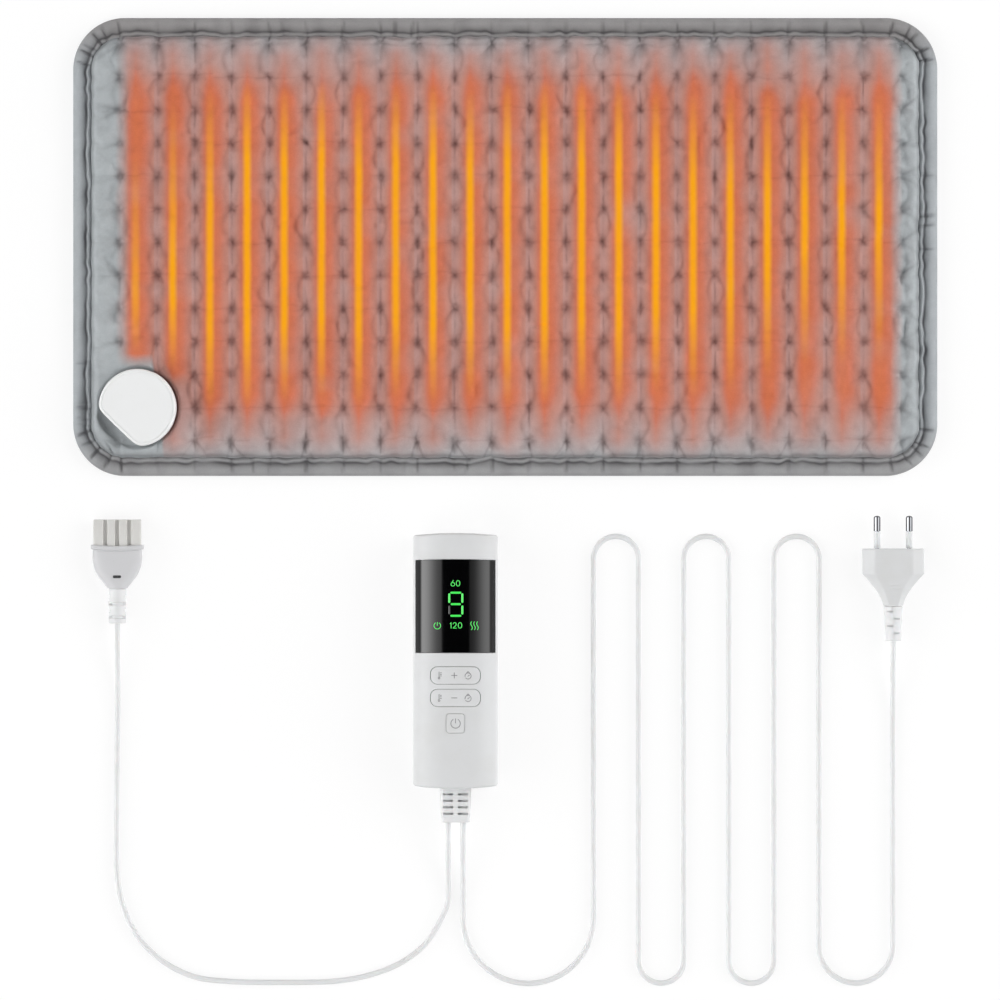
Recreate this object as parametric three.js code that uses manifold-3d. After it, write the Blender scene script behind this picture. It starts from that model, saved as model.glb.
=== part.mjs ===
// Electric heating pad with a hand controller, laid out flat as it comes out of its box.
// A quilted pad carries a socket in one corner. A controller with a display and three keys
// lies below it, on a cord that ends in the pad's connector and a cord that ends in a mains plug.
// Millimetres, +Z up. The origin is the centre of the pad's underside, +Y runs from the
// controller towards the pad, and +X to the right as seen from above.
import * as THREE from 'three';
import { mergeVertices } from 'three/addons/utils/BufferGeometryUtils.js';
import Module from 'manifold-3d';

const wasm = await Module();
wasm.setup();

// Sizes that more than one piece uses. Touching pieces keep the gap, and a cut runs past its work.
const gap = 0.3;
const overrun = 2;

// The pad, as seen from above.
const pad = { width: 500, depth: 265, cornerRadius: 30 };

// The tape that is sewn round the pad's edge: a folded strip with a stitched ridge along its inner side.
const tape = {
  width: 9.6,
  thickness: 1,
  edgeRound: 2.4,
  humpRise: 0.5,
  ridgeWidth: 1.7,
  ridgeRise: 0.7,
  grooveDepth: 0.5,
};

// The layers between the two leaves of the tape, from the bottom up.
const cover = { flange: 1.2 };
const carrier = { thickness: 0.8, inset: 14.3 };
const wire = { diameter: 2.2, fromMiddle: 2.2, edgeSpace: 0.7, leadSpace: 1.3, leadInset: 19, fromKnee: 25 };
const quilt = { flange: 1.2, seat: 0.6, pit: 0.9, puff: 3, crown: 5.6, shoulder: 2.6, lip: 1.2, slope: 3 };

// The grid of tufts that quilts the top cover. A run of wire lies between each two columns,
// a little to the left of the middle.
const tuftGrid = { pitchX: 21.46, pitchY: 19.13, left: 27.6, right: 21.8, top: 15, bottom: 20.5 };

// The socket housing in the pad's corner.
const socket = {
  fromLeft: 37.9,
  fromFront: 39.4,
  turnDegrees: -44,
  radius: 22.3,
  mouthReach: 16.3,
  floor: 1.5,
  wall: 2.4,
  lid: 2.8,
  lidBevel: 1.3,
  backReach: 13.5,
  pinDiameter: 1.8,
  pinReach: 8,
  blockDepth: 7.4,
  wireBehindBlock: 3.2,
  screwX: 18,
  screwY: 2,
};
const clampBar = { width: 7, thickness: 2.2 };
const socketScrew = { headDiameter: 4.4, headHeight: 1.2, shankDiameter: 2.2, bite: 5 };
const cutout = { length: 11, width: 4.2, height: 2.2 };

// The connector on the pad's cord. Its nose fits the socket.
const connector = {
  x: -224.3,
  y: -172.5,
  ribs: 4,
  ribPitch: 6.9,
  noseLength: 14.8,
  noseThickness: 7,
  grooveWidth: 2.2,
  grooveDepth: 1.3,
  collarWidth: 30.6,
  collarThickness: 10.6,
  collarLength: 2.6,
  bodyThickness: 11,
  bodyLength: 23.6,
  neckDiameter: 9.6,
  tailLength: 20,
  tailDiameter: 10.8,
  tailEndDiameter: 9.8,
  tailGroove: 1.3,
  tailRings: 3,
  slotWidth: 4.6,
  slotLength: 1.5,
  slotDepth: 0.8,
  slotFromCollar: 17.5,
  contactWall: 0.5,
  contactLength: 11,
};
const noseClearance = 0.4;

// The controller's case. Its section is a rounded oval, cut flat where it lies on the table.
const controller = {
  x: -28.7,
  y: -239,
  width: 49,
  length: 147,
  height: 28,
  flatDepth: 0.5,
  roundness: 2.6,
  endArch: 1.3,
  endRound: 1.6,
  sideWall: 3.2,
  frontWall: 4.4,
  backWall: 2.4,
  endWall: 2.6,
};
const lens = {
  fromTop: 15.2,
  lengthShare: 0.364,
  sideMargin: 1.7,
  sideDrop: 5.5,
  thickness: 1.8,
  recess: 0.25,
  windowMargin: 6,
  windowWidth: 26,
};
const board = { width: 37, endSpace: 17.5, thickness: 1.6, rise: 1, postDiameter: 5, postX: 13 };
const display = { width: 24, endSpace: 1.75, height: 9.3 };
const keys = {
  width: 28.4,
  length: 9.9,
  cornerRadius: 4,
  proud: 0.5,
  sideGap: 0.5,
  plusFromLens: 13.1,
  minusFromPlus: 12.9,
  powerFromMinus: 14.7,
  powerWidth: 10.4,
  powerLength: 11,
  powerCornerRadius: 1.6,
  flangeMargin: 1,
  flangeThickness: 1,
  seatDrop: 0.6,
  postDiameter: 3,
  postReach: 9.5,
  postDrop: 1,
  postSpace: 0.6,
  pivotDiameter: 1.8,
  pivotLength: 1.1,
  pivotDrop: 1.6,
  hubWidth: 4,
  lugThickness: 1.6,
  lugMargin: 1.2,
};
const tact = { width: 6, baseHeight: 3.6, stemDiameter: 3.4 };
const relay = { width: 15, length: 10, height: 7.4 };
const capacitor = { width: 6, length: 10, height: 5 };
const fuse = { diameter: 4.4, length: 10 };
const partSpace = 2.2;
const caseScrew = {
  x: 15.2,
  fromEnd: 10.5,
  headDiameter: 5.2,
  headHeight: 1.8,
  shankDiameter: 2.6,
  length: 14,
  sink: 2.2,
  seat: 2,
  bossWall: 1.7,
};

// The moulded double gland that both cords leave the controller through.
const gland = {
  width: 19,
  endWidth: 16.4,
  thickness: 8.4,
  endThickness: 7,
  length: 20,
  flangeMargin: 1.4,
  flangeThickness: 1.6,
  slotRows: 4,
  slotWidth: 6,
  slotLength: 1.3,
  slotDepth: 1,
  drop: 3.4,
};

// The two cords.
const cord = { diameter: 3.2, spacing: 8.6, turnDegrees: 18, slopeLength: 46, lift: 0.1 };

// The mains plug: a flat two-pin plug whose pins stand at the standard distance.
const plug = {
  x: 224.2,
  y: -174.5,
  width: 36,
  thickness: 14,
  faceWidth: 22,
  faceLength: 14.5,
  bodyLength: 33,
  neckWidth: 11.6,
  neckThickness: 10.4,
  tailLength: 20,
  tailDiameter: 11,
  tailEndDiameter: 9.4,
  tailGroove: 1.4,
  tailRings: 4,
  pinSpacing: 18.6,
  pinDiameter: 4,
  pinLength: 19,
  pinTip: 9,
  pinCore: 2.6,
  pinRoot: 7,
  sleeveDiameter: 3.8,
};

// Heights of the pad's layers.
const underFlangeZ = tape.thickness + gap;
const underTopZ = underFlangeZ + cover.flange;
const quiltFlangeZ = underTopZ + gap;
const quiltFlangeTopZ = quiltFlangeZ + quilt.flange;
const tapeInnerZ = quiltFlangeTopZ + gap;
const tapeTopZ = tapeInnerZ + tape.thickness;
const carrierZ = underTopZ + gap;
const wireBedZ = carrierZ + carrier.thickness + gap;
const wireAxisZ = wireBedZ + wire.diameter / 2;
const waddingZ = wireBedZ + wire.diameter + gap;
const seatZ = waddingZ + quilt.seat;

// The number of wire runs is odd, so that the wire ends at the far side, and a column of tufts
// stands on both sides of each run. The grid then fills the pad evenly.
const gridWidth = pad.width - tuftGrid.left - tuftGrid.right;
const gridDepth = pad.depth - tuftGrid.top - tuftGrid.bottom;
const wireRuns = 2 * Math.round((gridWidth / tuftGrid.pitchX - 1) / 2) + 1;
const tuftGaps = Math.round(gridDepth / tuftGrid.pitchY);
const tuftPitchX = gridWidth / wireRuns;
const tuftPitchY = gridDepth / tuftGaps;
const tuftX = (column) => tuftGrid.left - pad.width / 2 + column * tuftPitchX;
const tuftY = (row) => tuftGrid.bottom - pad.depth / 2 + row * tuftPitchY;

// The centre of the socket housing.
const socketX = socket.fromLeft - pad.width / 2;
const socketY = socket.fromFront - pad.depth / 2;

// Materials.
const finish = (color, roughness, metalness = 0) =>
  new THREE.MeshStandardMaterial({ color, roughness, metalness });
const plush = finish('#9ea3a6', 0.95);
const tapeCloth = finish('#8f9497', 0.95);
const underCloth = finish('#8a8f92', 0.95);
const felt = finish('#d9d6cc', 0.95);
const wireSkin = finish('#c9542c', 0.5);
const whitePlastic = finish('#e4e5e6', 0.35);
const keyPlastic = finish('#dcdddd', 0.4);
const ivoryPlastic = finish('#ece8da', 0.4);
const softPlastic = finish('#dcdddd', 0.55);
const blackGloss = finish('#060607', 0.08);
const darkPlastic = finish('#1d1e20', 0.5);
const boardGreen = finish('#2c6b3f', 0.5);
const partBlue = finish('#2f5f9a', 0.45);
const partYellow = finish('#c9a227', 0.5);
const glassTube = finish('#cfd6d8', 0.15);
const steel = finish('#b9bcc0', 0.3, 1);
const nickel = finish('#c9ccd0', 0.2, 1);
const brass = finish('#b9975b', 0.3, 1);

// A closed geometry from points and triangles, turned to face outwards.
function closedGeometry(points, triangles) {
  const flat = points.flatMap((point) => [point.x, point.y, point.z]);
  const geometry = new THREE.BufferGeometry();
  geometry.setAttribute('position', new THREE.Float32BufferAttribute(flat, 3));
  let volume = 0;
  for (const [a, b, c] of triangles) {
    volume += points[a].dot(points[b].clone().cross(points[c]));
  }
  geometry.setIndex(triangles.flatMap(([a, b, c]) => (volume < 0 ? [a, c, b] : [a, b, c])));
  return geometry;
}

// Triangles between ring number "lower" and the next ring, of "count" points each.
function ringWall(lower, upper, count) {
  const wall = [];
  for (let i = 0; i < count; i += 1) {
    const j = (i + 1) % count;
    wall.push([lower + i, lower + j, upper + j], [lower + i, upper + j, upper + i]);
  }
  return wall;
}

// A closed body through rings of equal counts, with a fan from the middle over each end.
function loft(rings) {
  const count = rings[0].length;
  const points = rings.flat();
  const triangles = rings.slice(1).flatMap((_, k) => ringWall(k * count, (k + 1) * count, count));
  const last = (rings.length - 1) * count;
  for (const [start, flip] of [[0, true], [last, false]]) {
    const middle = new THREE.Vector3();
    points.slice(start, start + count).forEach((point) => middle.addScaledVector(point, 1 / count));
    const centre = points.push(middle) - 1;
    for (let i = 0; i < count; i += 1) {
      const j = (i + 1) % count;
      triangles.push(flip ? [centre, start + j, start + i] : [centre, start + i, start + j]);
    }
  }
  return closedGeometry(points, triangles);
}

// A closed band through rings that come round to the first one again.
function hoop(rings) {
  const count = rings[0].length;
  const triangles = rings.flatMap((_, k) =>
    ringWall(k * count, ((k + 1) % rings.length) * count, count),
  );
  return closedGeometry(rings.flat(), triangles);
}

// Geometry to solid and back, for joining and cutting.
function solidOf(geometry) {
  const bare = geometry.clone();
  bare.deleteAttribute('normal');
  bare.deleteAttribute('uv');
  const merged = mergeVertices(bare, 1e-4);
  return new wasm.Manifold(
    new wasm.Mesh({
      numProp: 3,
      vertProperties: new Float32Array(merged.attributes.position.array),
      triVerts: new Uint32Array(merged.index.array),
    }),
  );
}

function geometryOf(solid) {
  const made = solid.getMesh();
  const geometry = new THREE.BufferGeometry();
  geometry.setAttribute('position', new THREE.BufferAttribute(made.vertProperties, 3));
  geometry.setIndex(new THREE.BufferAttribute(made.triVerts, 1));
  return geometry;
}

const cut = (body, ...tools) =>
  geometryOf(tools.reduce((left, tool) => left.subtract(solidOf(tool)), solidOf(body)));
const join = (body, ...others) =>
  geometryOf(others.reduce((sum, other) => sum.add(solidOf(other)), solidOf(body)));
const common = (body, other) => geometryOf(solidOf(body).intersect(solidOf(other)));

// A block between two corners.
function block(lowX, highX, lowY, highY, lowZ, highZ) {
  const box = new THREE.BoxGeometry(highX - lowX, highY - lowY, highZ - lowZ);
  return box.translate((lowX + highX) / 2, (lowY + highY) / 2, (lowZ + highZ) / 2);
}

// A bar with rounded corners, extruded from one height to another.
function roundedBar(width, length, radius, lowZ, highZ) {
  const shape = new THREE.Shape();
  const x = width / 2 - radius;
  const y = length / 2 - radius;
  shape.absarc(x, y, radius, 0, Math.PI / 2);
  shape.absarc(-x, y, radius, Math.PI / 2, Math.PI);
  shape.absarc(-x, -y, radius, Math.PI, 1.5 * Math.PI);
  shape.absarc(x, -y, radius, 1.5 * Math.PI, 2 * Math.PI);
  const bar = new THREE.ExtrudeGeometry(shape, {
    depth: highZ - lowZ,
    bevelEnabled: false,
    curveSegments: 4,
  });
  return bar.translate(0, 0, lowZ);
}

// A round rod along Y or Z.
function rodAlongY(radius, lowY, highY, sides = 12) {
  const rod = new THREE.CylinderGeometry(radius, radius, highY - lowY, sides);
  return rod.translate(0, (lowY + highY) / 2, 0);
}
const rodAlongZ = (radius, lowZ, highZ, sides = 12) =>
  rodAlongY(radius, lowZ, highZ, sides).rotateX(Math.PI / 2);

// A body of revolution about Y, from pairs of radius and height.
function turned(profile, sides = 20) {
  const points = profile.map(([radius, y]) => new THREE.Vector2(radius, y));
  return new THREE.LatheGeometry(points, sides);
}

// A line through stations, which a tube takes one ring from each of.
class StationPath extends THREE.Curve {
  constructor(stations) {
    super();
    this.stations = stations;
  }

  getUtoTmapping(u) {
    return u;
  }

  getPoint(t, target = new THREE.Vector3()) {
    const place = t * (this.stations.length - 1);
    const index = Math.min(Math.floor(place + 1e-9), this.stations.length - 2);
    return target.lerpVectors(this.stations[index], this.stations[index + 1], place - index);
  }

  getTangent(t, target = new THREE.Vector3()) {
    const index = Math.round(t * (this.stations.length - 1));
    const way = (from) =>
      from < 0 || from > this.stations.length - 2
        ? new THREE.Vector3()
        : this.stations[from + 1].clone().sub(this.stations[from]).normalize();
    return target.copy(way(index - 1)).add(way(index)).normalize();
  }
}

// A round tube through stations.
function tube(stations, radius, sides) {
  const section = new THREE.Shape();
  for (let i = 0; i < sides; i += 1) {
    const angle = (2 * Math.PI * i) / sides;
    const [x, y] = [radius * Math.cos(angle), radius * Math.sin(angle)];
    if (i === 0) section.moveTo(x, y);
    else section.lineTo(x, y);
  }
  section.closePath();
  return new THREE.ExtrudeGeometry(section, {
    steps: stations.length - 1,
    extrudePath: new StationPath(stations),
    bevelEnabled: false,
  });
}

// Adds a named piece to a group.
function piece(group, name, geometry, material) {
  const mesh = new THREE.Mesh(geometry, material);
  mesh.name = name;
  group.add(mesh);
  return mesh;
}

const whole = new THREE.Group();

// The pad's rounded outline, a distance in from its edge, with extra points on the straight sides.
function rim(inset, z, longSide = 0, shortSide = 0) {
  const radius = pad.cornerRadius - inset;
  const cornerSteps = 6;
  const corners = [[1, 1, 0], [-1, 1, 1], [-1, -1, 2], [1, -1, 3]].map(([sx, sy, quarter]) => {
    const arc = [];
    for (let i = 0; i <= cornerSteps; i += 1) {
      const angle = ((quarter + i / cornerSteps) * Math.PI) / 2;
      const x = sx * (pad.width / 2 - pad.cornerRadius) + radius * Math.cos(angle);
      const y = sy * (pad.depth / 2 - pad.cornerRadius) + radius * Math.sin(angle);
      arc.push(new THREE.Vector3(x, y, z));
    }
    return arc;
  });
  return corners.flatMap((arc, k) => {
    const next = corners[(k + 1) % corners.length][0];
    const extra = k % 2 === 0 ? longSide : shortSide;
    const side = [];
    for (let i = 1; i <= extra; i += 1) {
      side.push(arc[cornerSteps].clone().lerp(next, i / (extra + 1)));
    }
    return [...arc, ...side];
  });
}

// Edge tape: a C-shaped fold with a rounded outer edge and a stitched ridge inside.
function edgeTape() {
  const profile = [];
  for (let degrees = -90; degrees <= 90; degrees += 30) {
    const angle = THREE.MathUtils.degToRad(degrees);
    const inset = tape.edgeRound * (1 - Math.cos(angle));
    profile.push([inset, (tapeTopZ / 2) * (1 + Math.sin(angle))]);
  }
  const grooveInset = tape.width - 1.5 * tape.ridgeWidth;
  profile.push(
    [(tape.edgeRound + grooveInset) / 2, tapeTopZ + tape.humpRise],
    [grooveInset - tape.ridgeWidth / 2, tapeTopZ],
    [grooveInset, tapeTopZ - tape.grooveDepth],
    [tape.width - tape.ridgeWidth / 2, tapeTopZ + tape.ridgeRise],
    [tape.width, tapeTopZ],
    [tape.width, tapeInnerZ],
    [tape.thickness, tapeInnerZ],
    [tape.thickness, tape.thickness],
    [tape.width, tape.thickness],
    [tape.width, 0],
  );
  const columns = profile.map(([inset, z]) => rim(inset, z));
  return hoop(columns[0].map((_, i) => columns.map((column) => column[i])));
}

const flangeInset = tape.thickness + gap;
const fieldInset = tape.width + gap;
piece(whole, 'edge_tape', edgeTape(), tapeCloth);

// Bottom cover: flat cloth whose rim is sewn into the tape.
piece(
  whole,
  'bottom_cover',
  loft([
    rim(fieldInset, 0),
    rim(fieldInset, underFlangeZ),
    rim(flangeInset, underFlangeZ),
    rim(flangeInset, underTopZ),
  ]),
  underCloth,
);

// Felt that carries the heating wire.
piece(
  whole,
  'wire_carrier',
  loft([rim(carrier.inset, carrierZ), rim(carrier.inset, carrierZ + carrier.thickness)]),
  felt,
);

// The socket's own frame: +Y points into the pad and the mouth opens along -Y.
const socketTurn = THREE.MathUtils.degToRad(socket.turnDegrees);
const socketGroup = new THREE.Group();
socketGroup.position.set(socketX, socketY, 0);
socketGroup.rotation.z = socketTurn;
whole.add(socketGroup);
const fromSocket = (x, y, z) =>
  new THREE.Vector3(x, y, z)
    .applyAxisAngle(new THREE.Vector3(0, 0, 1), socketTurn)
    .add(new THREE.Vector3(socketX, socketY, 0));

// The housing's outline: a circle cut off by the mouth, with soft corners where they meet.
function pebble(inset, z) {
  const points = [];
  const steps = 48;
  const sharpness = 16;
  for (let i = 0; i < steps; i += 1) {
    const angle = (2 * Math.PI * i) / steps;
    const towardsMouth = -Math.sin(angle);
    const round = (socket.radius - inset) ** -sharpness;
    const flat = towardsMouth > 0 ? ((socket.mouthReach - inset) / towardsMouth) ** -sharpness : 0;
    const reach = (round + flat) ** (-1 / sharpness);
    points.push(new THREE.Vector3(reach * Math.cos(angle), reach * Math.sin(angle), z));
  }
  return points;
}

const noseWidth = connector.ribs * connector.ribPitch;
const bayHalfWidth = noseWidth / 2 + noseClearance;
const bayHeight = connector.noseThickness + 2 * noseClearance;
const housingZ = seatZ + gap;
const bayZ = housingZ + socket.floor;
const bayTopZ = bayZ + bayHeight;
const pinZ = (bayZ + bayTopZ) / 2;
const wireHoleY = socket.blockDepth + socket.wireBehindBlock;
const wireHoleHalf = connector.ribPitch / 2 + 2 * wire.diameter;

// Holes through the quilt under the housing, for the two wires and the two screws.
function quiltHoles() {
  const wires = block(
    -wireHoleHalf,
    wireHoleHalf,
    wireHoleY - 1.5 * wire.diameter,
    wireHoleY + 1.5 * wire.diameter,
    waddingZ - overrun,
    bayZ + overrun,
  );
  const screws = [-socket.screwX, socket.screwX].map((x) =>
    rodAlongZ(socketScrew.shankDiameter / 2 + 2 * gap, waddingZ - overrun, bayZ).translate(
      x,
      socket.screwY,
      0,
    ),
  );
  return [wires, ...screws].map((tool) =>
    tool.rotateZ(socketTurn).translate(socketX, socketY, 0),
  );
}

// Top cover, quilted to its wadding: pits at the tufts, crowned channels over the wires.
function quiltedTop() {
  const points = [];
  const triangles = [];
  const addPoint = (x, y, z) => points.push(new THREE.Vector3(x, y, z)) - 1;
  const addRing = (ring) => ring.map((point) => points.push(point) - 1);

  const lastColumn = 2 * wireRuns;
  const lastRow = 2 * tuftGaps;

  // The surface is pressed down towards the seat of the housing.
  const pressed = (x, y, z) => {
    const away = Math.hypot(x - socketX, y - socketY) - socket.radius;
    const limit = seatZ + Math.max(0, away) / quilt.slope;
    return Math.min(z, limit);
  };
  const lattice = (halfColumn, halfRow) => {
    const x = tuftX(halfColumn / 2);
    const y = tuftY(halfRow / 2);
    const onTuftColumn = halfColumn % 2 === 0;
    const onTuft = onTuftColumn && halfRow % 2 === 0;
    const onRim = halfRow === 0 || halfRow === lastRow;
    const rise = onTuft ? quilt.pit : onTuftColumn || onRim ? quilt.puff : quilt.crown;
    return addPoint(x, y, pressed(x, y, waddingZ + rise));
  };

  // Six triangles to each cell between four tufts, with a crest along the middle of the channel.
  const index = new Map();
  const at = (halfColumn, halfRow) => {
    const key = halfColumn * 1000 + halfRow;
    if (!index.has(key)) index.set(key, lattice(halfColumn, halfRow));
    return index.get(key);
  };
  for (let c = 0; c < lastColumn; c += 2) {
    for (let r = 0; r < lastRow; r += 2) {
      const [southWest, south, southEast] = [at(c, r), at(c + 1, r), at(c + 2, r)];
      const [west, east] = [at(c, r + 1), at(c + 2, r + 1)];
      const [northWest, north, northEast] = [at(c, r + 2), at(c + 1, r + 2), at(c + 2, r + 2)];
      triangles.push(
        [southWest, south, west],
        [south, southEast, east],
        [west, north, northWest],
        [east, northEast, north],
        [west, south, north],
        [south, east, north],
      );
    }
  }
  const latticeRim = [];
  for (let c = 0; c < lastColumn; c += 1) latticeRim.push(at(c, 0));
  for (let r = 0; r < lastRow; r += 1) latticeRim.push(at(lastColumn, r));
  for (let c = lastColumn; c > 0; c -= 1) latticeRim.push(at(c, lastRow));
  for (let r = lastRow; r > 0; r -= 1) latticeRim.push(at(0, r));

  // A band between one closed line of points and a line inside it, stitched along both at once
  // by the shorter of the two next diagonals.
  const band = (outer, inner, faceUp) => {
    const apart = (a, b) => points[a].distanceTo(points[b]);
    const nearest = inner.reduce((best, i) => (apart(outer[0], i) < apart(outer[0], best) ? i : best));
    const start = inner.indexOf(nearest);
    const outerAt = (i) => outer[i % outer.length];
    const innerAt = (j) => inner[(start + j) % inner.length];
    let [i, j] = [0, 0];
    while (i < outer.length || j < inner.length) {
      const stepOut = apart(outerAt(i + 1), innerAt(j));
      const stepIn = apart(outerAt(i), innerAt(j + 1));
      const outwards = j === inner.length || (i < outer.length && stepOut <= stepIn);
      const corner = outwards ? outerAt(i + 1) : innerAt(j + 1);
      const [a, b] = [outerAt(i), innerAt(j)];
      triangles.push(faceUp ? [a, corner, b] : [a, b, corner]);
      if (outwards) i += 1;
      else j += 1;
    }
  };
  const flangeRing = addRing(rim(flangeInset, quiltFlangeTopZ));
  const footRing = addRing(rim(fieldInset, quiltFlangeTopZ));
  const shoulderRing = addRing(
    rim(fieldInset + quilt.lip, waddingZ + quilt.shoulder, tuftGaps, tuftGaps / 2),
  );
  for (const i of shoulderRing) points[i].z = pressed(points[i].x, points[i].y, points[i].z);
  band(flangeRing, footRing, true);
  band(footRing, shoulderRing, true);
  band(shoulderRing, latticeRim, true);

  // The underside, with the recess that lies over the carrier and its wires.
  const recessInset = carrier.inset - gap;
  const underRing = addRing(rim(flangeInset, quiltFlangeZ));
  const recessRing = addRing(rim(recessInset, quiltFlangeZ));
  const roofRing = addRing(rim(recessInset, waddingZ));
  band(underRing, recessRing, false);
  triangles.push(...ringWall(underRing[0], flangeRing[0], underRing.length));
  for (let i = 0; i < recessRing.length; i += 1) {
    const j = (i + 1) % recessRing.length;
    triangles.push(
      [recessRing[i], roofRing[j], recessRing[j]],
      [recessRing[i], roofRing[i], roofRing[j]],
    );
  }
  for (let i = 1; i < roofRing.length - 1; i += 1) {
    triangles.push([roofRing[0], roofRing[i + 1], roofRing[i]]);
  }
  const footprint = loft([pebble(-gap, seatZ), pebble(-gap, waddingZ + overrun * quilt.crown)]);
  footprint.rotateZ(socketTurn).translate(socketX, socketY, 0);
  return cut(closedGeometry(points, triangles), footprint, ...quiltHoles());
}

piece(whole, 'quilted_top', quiltedTop(), plush);

// Heating wire: one unbroken line, up and down between the tufts, with a lead back to the socket.
function heatingWire() {
  const turn = tuftPitchX / 2;
  const edge = carrier.inset + wire.edgeSpace + wire.diameter / 2;
  const leadY = pad.depth / 2 - edge;
  const topY = leadY - wire.diameter - wire.leadSpace - turn;
  const bottomY = edge - pad.depth / 2 + turn;
  const runX = (run) => tuftX(run) + turn - wire.fromMiddle;
  const flat = (x, y) => new THREE.Vector3(x, y, wireAxisZ);
  const arc = (x, y, radius, from, to, steps) => {
    const points = [];
    for (let i = 1; i <= steps; i += 1) {
      const angle = THREE.MathUtils.degToRad(from + ((to - from) * i) / steps);
      points.push(flat(x + radius * Math.cos(angle), y + radius * Math.sin(angle)));
    }
    return points;
  };
  const pinX = connector.ribPitch / 2;
  const riseEnd = pinZ - socket.pinDiameter / 2 - gap;

  // Each end comes in flat, bends up through the hole and stops under its pin.
  const riser = (x) => {
    const foot = fromSocket(x, wireHoleY, wireAxisZ);
    const lifted = foot.clone().setZ(wireAxisZ + wire.diameter / 2);
    return [foot.clone().lerp(lifted, 0.5), foot.clone().setZ(waddingZ), foot.clone().setZ(riseEnd)];
  };
  const kneeY = fromSocket(0, wireHoleY, 0).y + wire.fromKnee;
  const first = riser(pinX);
  const last = riser(-pinX);
  const stations = [...first].reverse();
  stations.push(flat(first[0].x - wire.diameter, first[0].y + 2 * wire.diameter));
  stations.push(flat(runX(0), kneeY));
  for (let run = 0; run < wireRuns; run += 1) {
    const upwards = run % 2 === 0;
    stations.push(flat(runX(run), upwards ? topY : bottomY));
    if (run < wireRuns - 1) {
      const y = upwards ? topY : bottomY;
      const bend = arc(runX(run) + turn, y, turn, 180, upwards ? 0 : 360, 4);
      stations.push(...bend);
    }
  }
  const leadX = wire.leadInset - pad.width / 2;
  const lastX = runX(wireRuns - 1);
  const corner = leadY - topY;
  stations.push(...arc(lastX - corner, topY, corner, 0, 90, 4));
  stations.push(...arc(leadX + turn, leadY - turn, turn, 90, 180, 4));
  stations.push(flat(leadX, kneeY));
  stations.push(flat(last[0].x - 2 * wire.diameter, last[0].y + wire.diameter));
  stations.push(...last);
  return tube(stations, wire.diameter / 2, 6);
}

piece(whole, 'heating_wire', heatingWire(), wireSkin);

// Two overheat cut-outs on the carrier, each between two runs of the wire.
[['cutout_left', 0.25], ['cutout_right', 0.75]].forEach(([name, share]) => {
  const column = Math.round(share * wireRuns);
  const body = block(
    tuftX(column) - cutout.width / 2,
    tuftX(column) + cutout.width / 2,
    -cutout.length / 2,
    cutout.length / 2,
    wireBedZ,
    wireBedZ + cutout.height,
  );
  piece(whole, name, body, darkPlastic);
});

// Socket body: a pebble-shaped shell with a bay that is open at the mouth and covered by the lid.
function socketBody() {
  const lip = socket.wall / 4;
  const shell = loft([
    pebble(lip, housingZ),
    pebble(0, housingZ + lip),
    pebble(0, bayTopZ),
  ]);
  const bay = block(
    -bayHalfWidth,
    bayHalfWidth,
    -socket.mouthReach - overrun,
    socket.backReach,
    bayZ,
    bayTopZ + overrun,
  );
  const wires = block(
    -wireHoleHalf,
    wireHoleHalf,
    wireHoleY - wire.diameter,
    wireHoleY + wire.diameter,
    housingZ - overrun,
    bayZ + overrun,
  );
  const screws = [-socket.screwX, socket.screwX].map((x) =>
    rodAlongZ(
      socketScrew.shankDiameter / 2 + gap,
      housingZ - overrun,
      housingZ + socketScrew.bite + gap,
    ).translate(x, socket.screwY, 0),
  );
  return cut(shell, bay, wires, ...screws);
}

function socketLid() {
  const bottom = bayTopZ + gap;
  const top = bottom + socket.lid;
  return loft([
    pebble(0, bottom),
    pebble(0, top - socket.lidBevel),
    pebble(socket.lidBevel / 3, top - socket.lidBevel / 3),
    pebble(socket.lidBevel, top),
  ]);
}

piece(socketGroup, 'socket_body', socketBody(), whitePlastic);
piece(socketGroup, 'socket_lid', socketLid(), whitePlastic);

// Terminal block with one pin for each rib of the connector. Two of them reach the wire's ends.
const pinPlaces = Array.from(
  { length: connector.ribs },
  (_, i) => (i - (connector.ribs - 1) / 2) * connector.ribPitch,
);
const blockBody = block(
  -bayHalfWidth + gap,
  bayHalfWidth - gap,
  0,
  socket.blockDepth,
  bayZ + gap,
  bayTopZ - gap,
);
const pinHoles = pinPlaces.map((x) =>
  rodAlongY(socket.pinDiameter / 2 + gap, -overrun, socket.blockDepth + overrun, 10).translate(
    x,
    0,
    pinZ,
  ),
);
piece(socketGroup, 'terminal_block', cut(blockBody, ...pinHoles), ivoryPlastic);
pinPlaces.forEach((x, i) => {
  const reachesWire = Math.abs(x) < connector.ribPitch;
  const back = reachesWire ? wireHoleY + wire.diameter / 2 : socket.blockDepth + wire.diameter / 2;
  const radius = socket.pinDiameter / 2;
  const tip = radius / 2;
  const profile = [
    [0, back],
    [radius, back],
    [radius, tip - socket.pinReach],
    [tip, -socket.pinReach],
    [0, -socket.pinReach],
  ];
  const pin = turned([...profile].reverse(), 10).translate(x, 0, pinZ);
  piece(socketGroup, `socket_pin_${i + 1}`, pin, nickel);
});

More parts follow.
